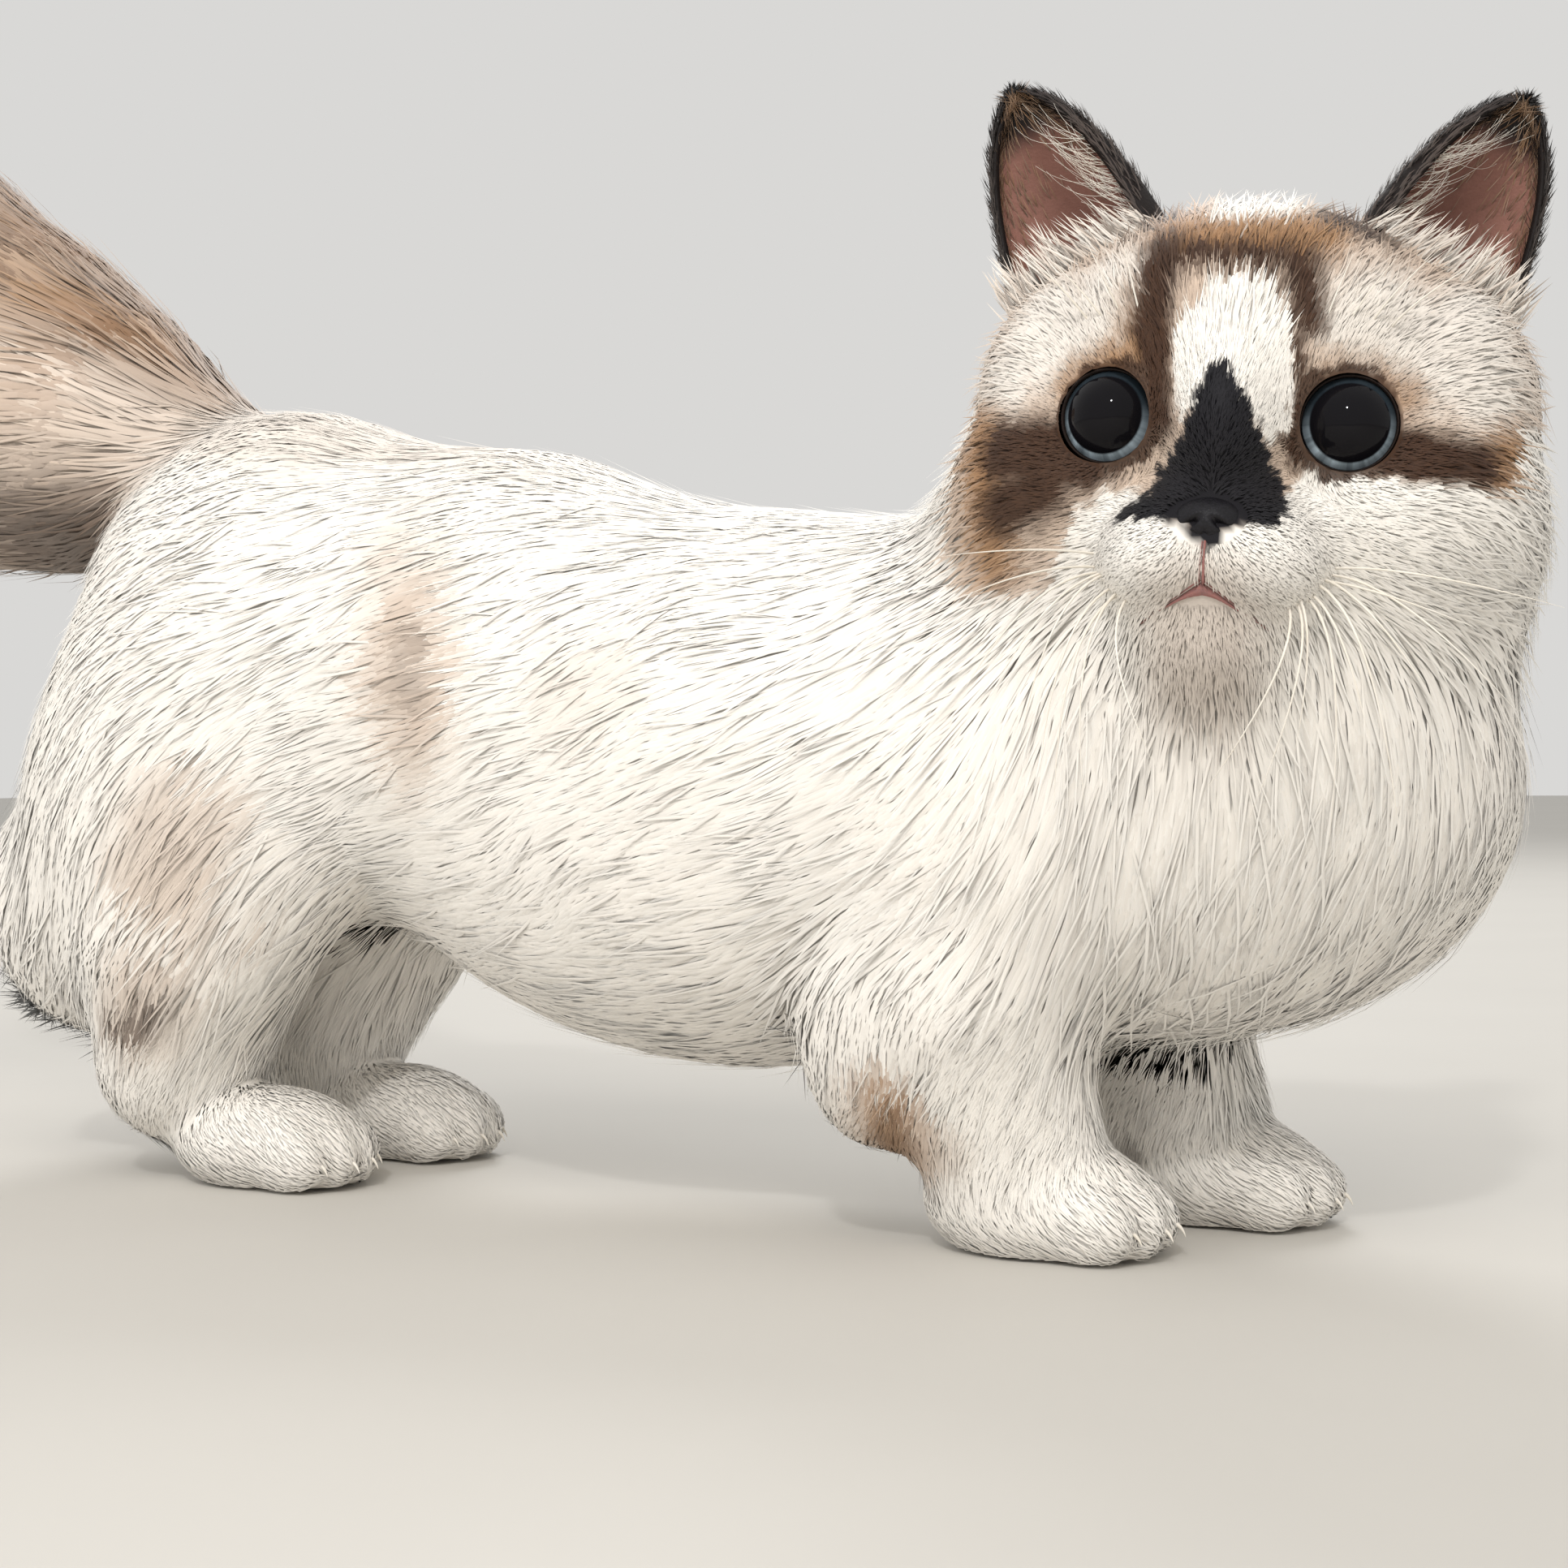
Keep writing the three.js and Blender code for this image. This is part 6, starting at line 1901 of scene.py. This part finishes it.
@dataclass
class Whiskers:
    """Long drooping whiskers from each pad to the places that the photograph shows, and finer ones over each eye."""

    shape: CatShape
    seed: int = 5
    right_ahead: float = 59
    left_ahead: float = 50
    right_ends: Pairs = (
        (-47, -26), (-44, -34), (-41, -51), (-35, -49), (-30, -57), (-26, -64), (-23, -70), (-17, -70), (-6, -60))
    left_ends: Pairs = (
        (62, -29), (55, -47), (47, -33), (41, -46), (37, -70), (31, -55), (25, -72), (18, -57), (11, -69), (2, -66))
    radius: float = 0.3

    def before_fur(self, end: Array) -> Array:
        """Brings a whisker's end forward until it is clear of the chest's fur."""
        for _ in range(40):
            if self.shape.tips(self.shape.head.outside(end[None]))[0] > 3:
                break
            end = end + (1.0, 0, 0)
        return end

    def guides(self) -> list[Array]:
        """The whiskers' lines in metres."""
        rng = np.random.default_rng(self.seed)
        lines = []
        for side, forward, ends in ((-1, self.right_ahead, self.right_ends), (1, self.left_ahead, self.left_ends)):
            for k, (left, up) in enumerate(ends):
                share = k / (len(ends) - 1)
                root = np.array([39 + 7 * share, side * (23 - 8.5 * share) + rng.uniform(-1, 1),
                                 -23.5 - 8 * share + rng.uniform(-1, 1)])
                end = self.before_fur(np.array([forward - 4 * rng.random(), left, up]))
                reach = np.linalg.norm(end - root)
                first = unit(np.array([0.75, side * (0.75 - 0.45 * share), 0.05 - 0.5 * share]))
                middle = root + first * reach * 0.42
                lines.append(arc(root - 2 * first, middle, end, 20))
            for k in range(4):
                root = np.array([33 - 2 * k, side * (15 + 3.5 * k), 15.5 + 0.6 * k])
                end = root + np.array([5, side * (6 + 4 * k), 16 + 4 * rng.random()])
                lines.append(arc(root, root + np.array([8, side * 2, 6.0]), end, 20))
        return [self.shape.packed_head(line) for line in lines]

    def make(self, material: Material) -> Object:
        """Grows the whiskers on their lines."""
        return HairTree("tapered_whisker", material).grow("whiskers", self.guides(), self.radius * MM, 6, 18)


@dataclass
class Claws:
    """Small curved claws, almost hidden in the fur of the toes."""

    shape: CatShape
    radius: float = 0.75
    length: float = 6.0

    def make(self, material: Material) -> Object:
        """Grows one claw from the front of each toe."""
        lines = []
        for toes in self.shape.toes:
            for toe in toes:
                root = np.array(toe.at) + np.array([toe.size[0] - 3.2, 0, -0.4])
                middle = root + np.array([0.6 * self.length, 0, 0.9])
                end = root + np.array([0.78 * self.length, 0, -2.6])
                lines.append(self.shape.packed(arc(root, middle, end, 9)))
        return HairTree("tapered_claw", material).grow("claws", lines, self.radius * MM, 8, 9)


@dataclass
class Studio:
    """The camera at the photograph's angle, a plain floor and soft light."""

    shape: CatShape
    eye: Triple = (292.5, -512.1, 100.8)
    right: tuple[float, float] = (0.8812, 0.4727)
    focal: float = 3160 / 1932 * 36
    pitch: float = 0.505
    roll: float = -0.485

    def camera(self) -> None:
        """Adds the camera."""
        data = bpy.data.cameras.new("camera")
        data.sensor_width = 36
        data.lens = self.focal
        data.clip_start = 0.02
        thing = add_object("camera", data)
        heading = math.atan2(self.right[1], self.right[0])
        spin = Matrix.Rotation(heading, 4, "Z") @ Matrix.Rotation(math.radians(90 - self.pitch), 4, "X")
        spin = spin @ Matrix.Rotation(math.radians(self.roll), 4, "Z")
        thing.matrix_world = Matrix.Translation(Vector(self.shape.packed(np.array(self.eye)))) @ spin
        bpy.context.scene.camera = thing

    def light(self, name: str, place: Triple, size: float, power: float, colour: str) -> Object:
        """Adds one soft lamp that looks at the cat's chest."""
        data = bpy.data.lights.new(name, "AREA")
        data.shape = "DISK"
        data.size = size
        data.energy = power
        data.color = linear(colour)[:3]
        thing = add_object(name, data)
        way = Vector((0, 0, 0.12)) - Vector(place)
        thing.matrix_world = Matrix.Translation(Vector(place)) @ way.to_track_quat("-Z", "Y").to_matrix().to_4x4()
        return thing

    def build(self) -> None:
        """Adds the floor, the lamps and the room's soft light."""
        self.camera()
        rows = np.array([[-6, -6, 0], [6, -6, 0], [6, 6, 0], [-6, 6, 0]], float)
        floor = mesh_object("floor", rows, [np.array([[0, 1, 2, 3]])], MATT_FLOOR.build())
        self.light("key_lamp", (0.75, -1.5, 1.6), 1.4, 19.5, "#FFF8EF").visible_glossy = False
        self.light("spark_lamp", (0.6, -1.5, 1.4), 0.13, 10, "#FFFFFF")
        self.light("fill_lamp", (-1.1, -1.8, 0.9), 1.8, 12, "#FFFFFF").visible_glossy = False
        self.light("rim_lamp", (-0.6, 1.5, 1.5), 1.0, 16, "#FFFFFF")
        world = bpy.data.worlds.new("studio")
        bpy.context.scene.world = world
        world.use_nodes = True
        back = world.node_tree.nodes["Background"]
        back.inputs["Color"].default_value = linear("#DEDDDB")
        back.inputs["Strength"].default_value = 0.95
        bpy.context.scene.view_settings.view_transform = "Standard"


FLESH = ("head", "neck", "torso", "foreleg_left", "foreleg_right", "forepaw_left", "forepaw_right",
         "hindleg_left", "hindleg_right", "hindpaw_left", "hindpaw_right", "tail_base", "tail_middle", "tail_tip")


def place(thing: Object, *nodes: str) -> None:
    """Lets a piece ride on the body and stand for the nodes it replaces, and reports it."""
    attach(thing, BODY)
    if nodes:
        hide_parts(*nodes)
    mesh = thing.data
    log.info("%s: %d corners, %d triangles", thing.name, len(mesh.vertices), len(mesh.loops) - 2 * len(mesh.polygons))


def main() -> None:
    """Builds the cat and the studio in order."""
    logging.basicConfig(level=logging.INFO, format="%(name)s %(message)s")
    shape = CatShape()
    Studio(shape).build()
    marks = Markings(shape)
    skin = Skin(shape, marks)
    place(skin.make(SkinFinish().build()), *FLESH)
    hair = CoatFinish().build()
    for piece in Coat(shape, marks, skin).make(hair):
        place(piece)
    rim = LID_EDGE.build()
    eye_finish = EyeFinish().build()
    for side in Side:
        eye = Eye(shape, side)
        place(eye.ball(eye_finish), f"eye_{side.label}")
        place(eye.lids(rim))
    place(Nose(shape).make(LeatherFinish().build()), "nose")
    place(Lips(shape).make(LipFinish().build()))
    ear_finish = EarFinish().build()
    keratin = KERATIN.build()
    threads = []
    for seed, side in enumerate(Side):
        ear = Ear(shape, EARS[side], side)
        place(ear.shell(ear_finish), f"ear_{side.label}")
        for piece in ear.fur(60 + seed, hair):
            place(piece)
        threads += ear.thread_lines(70 + seed)
    place(HairTree("fine_ear_hair", keratin).grow("ear_hairs", threads, 0.07 * MM, 3, 10))
    place(Whiskers(shape).make(keratin))
    place(Claws(shape).make(keratin))
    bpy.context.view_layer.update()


if __name__ == "__main__":
    main()
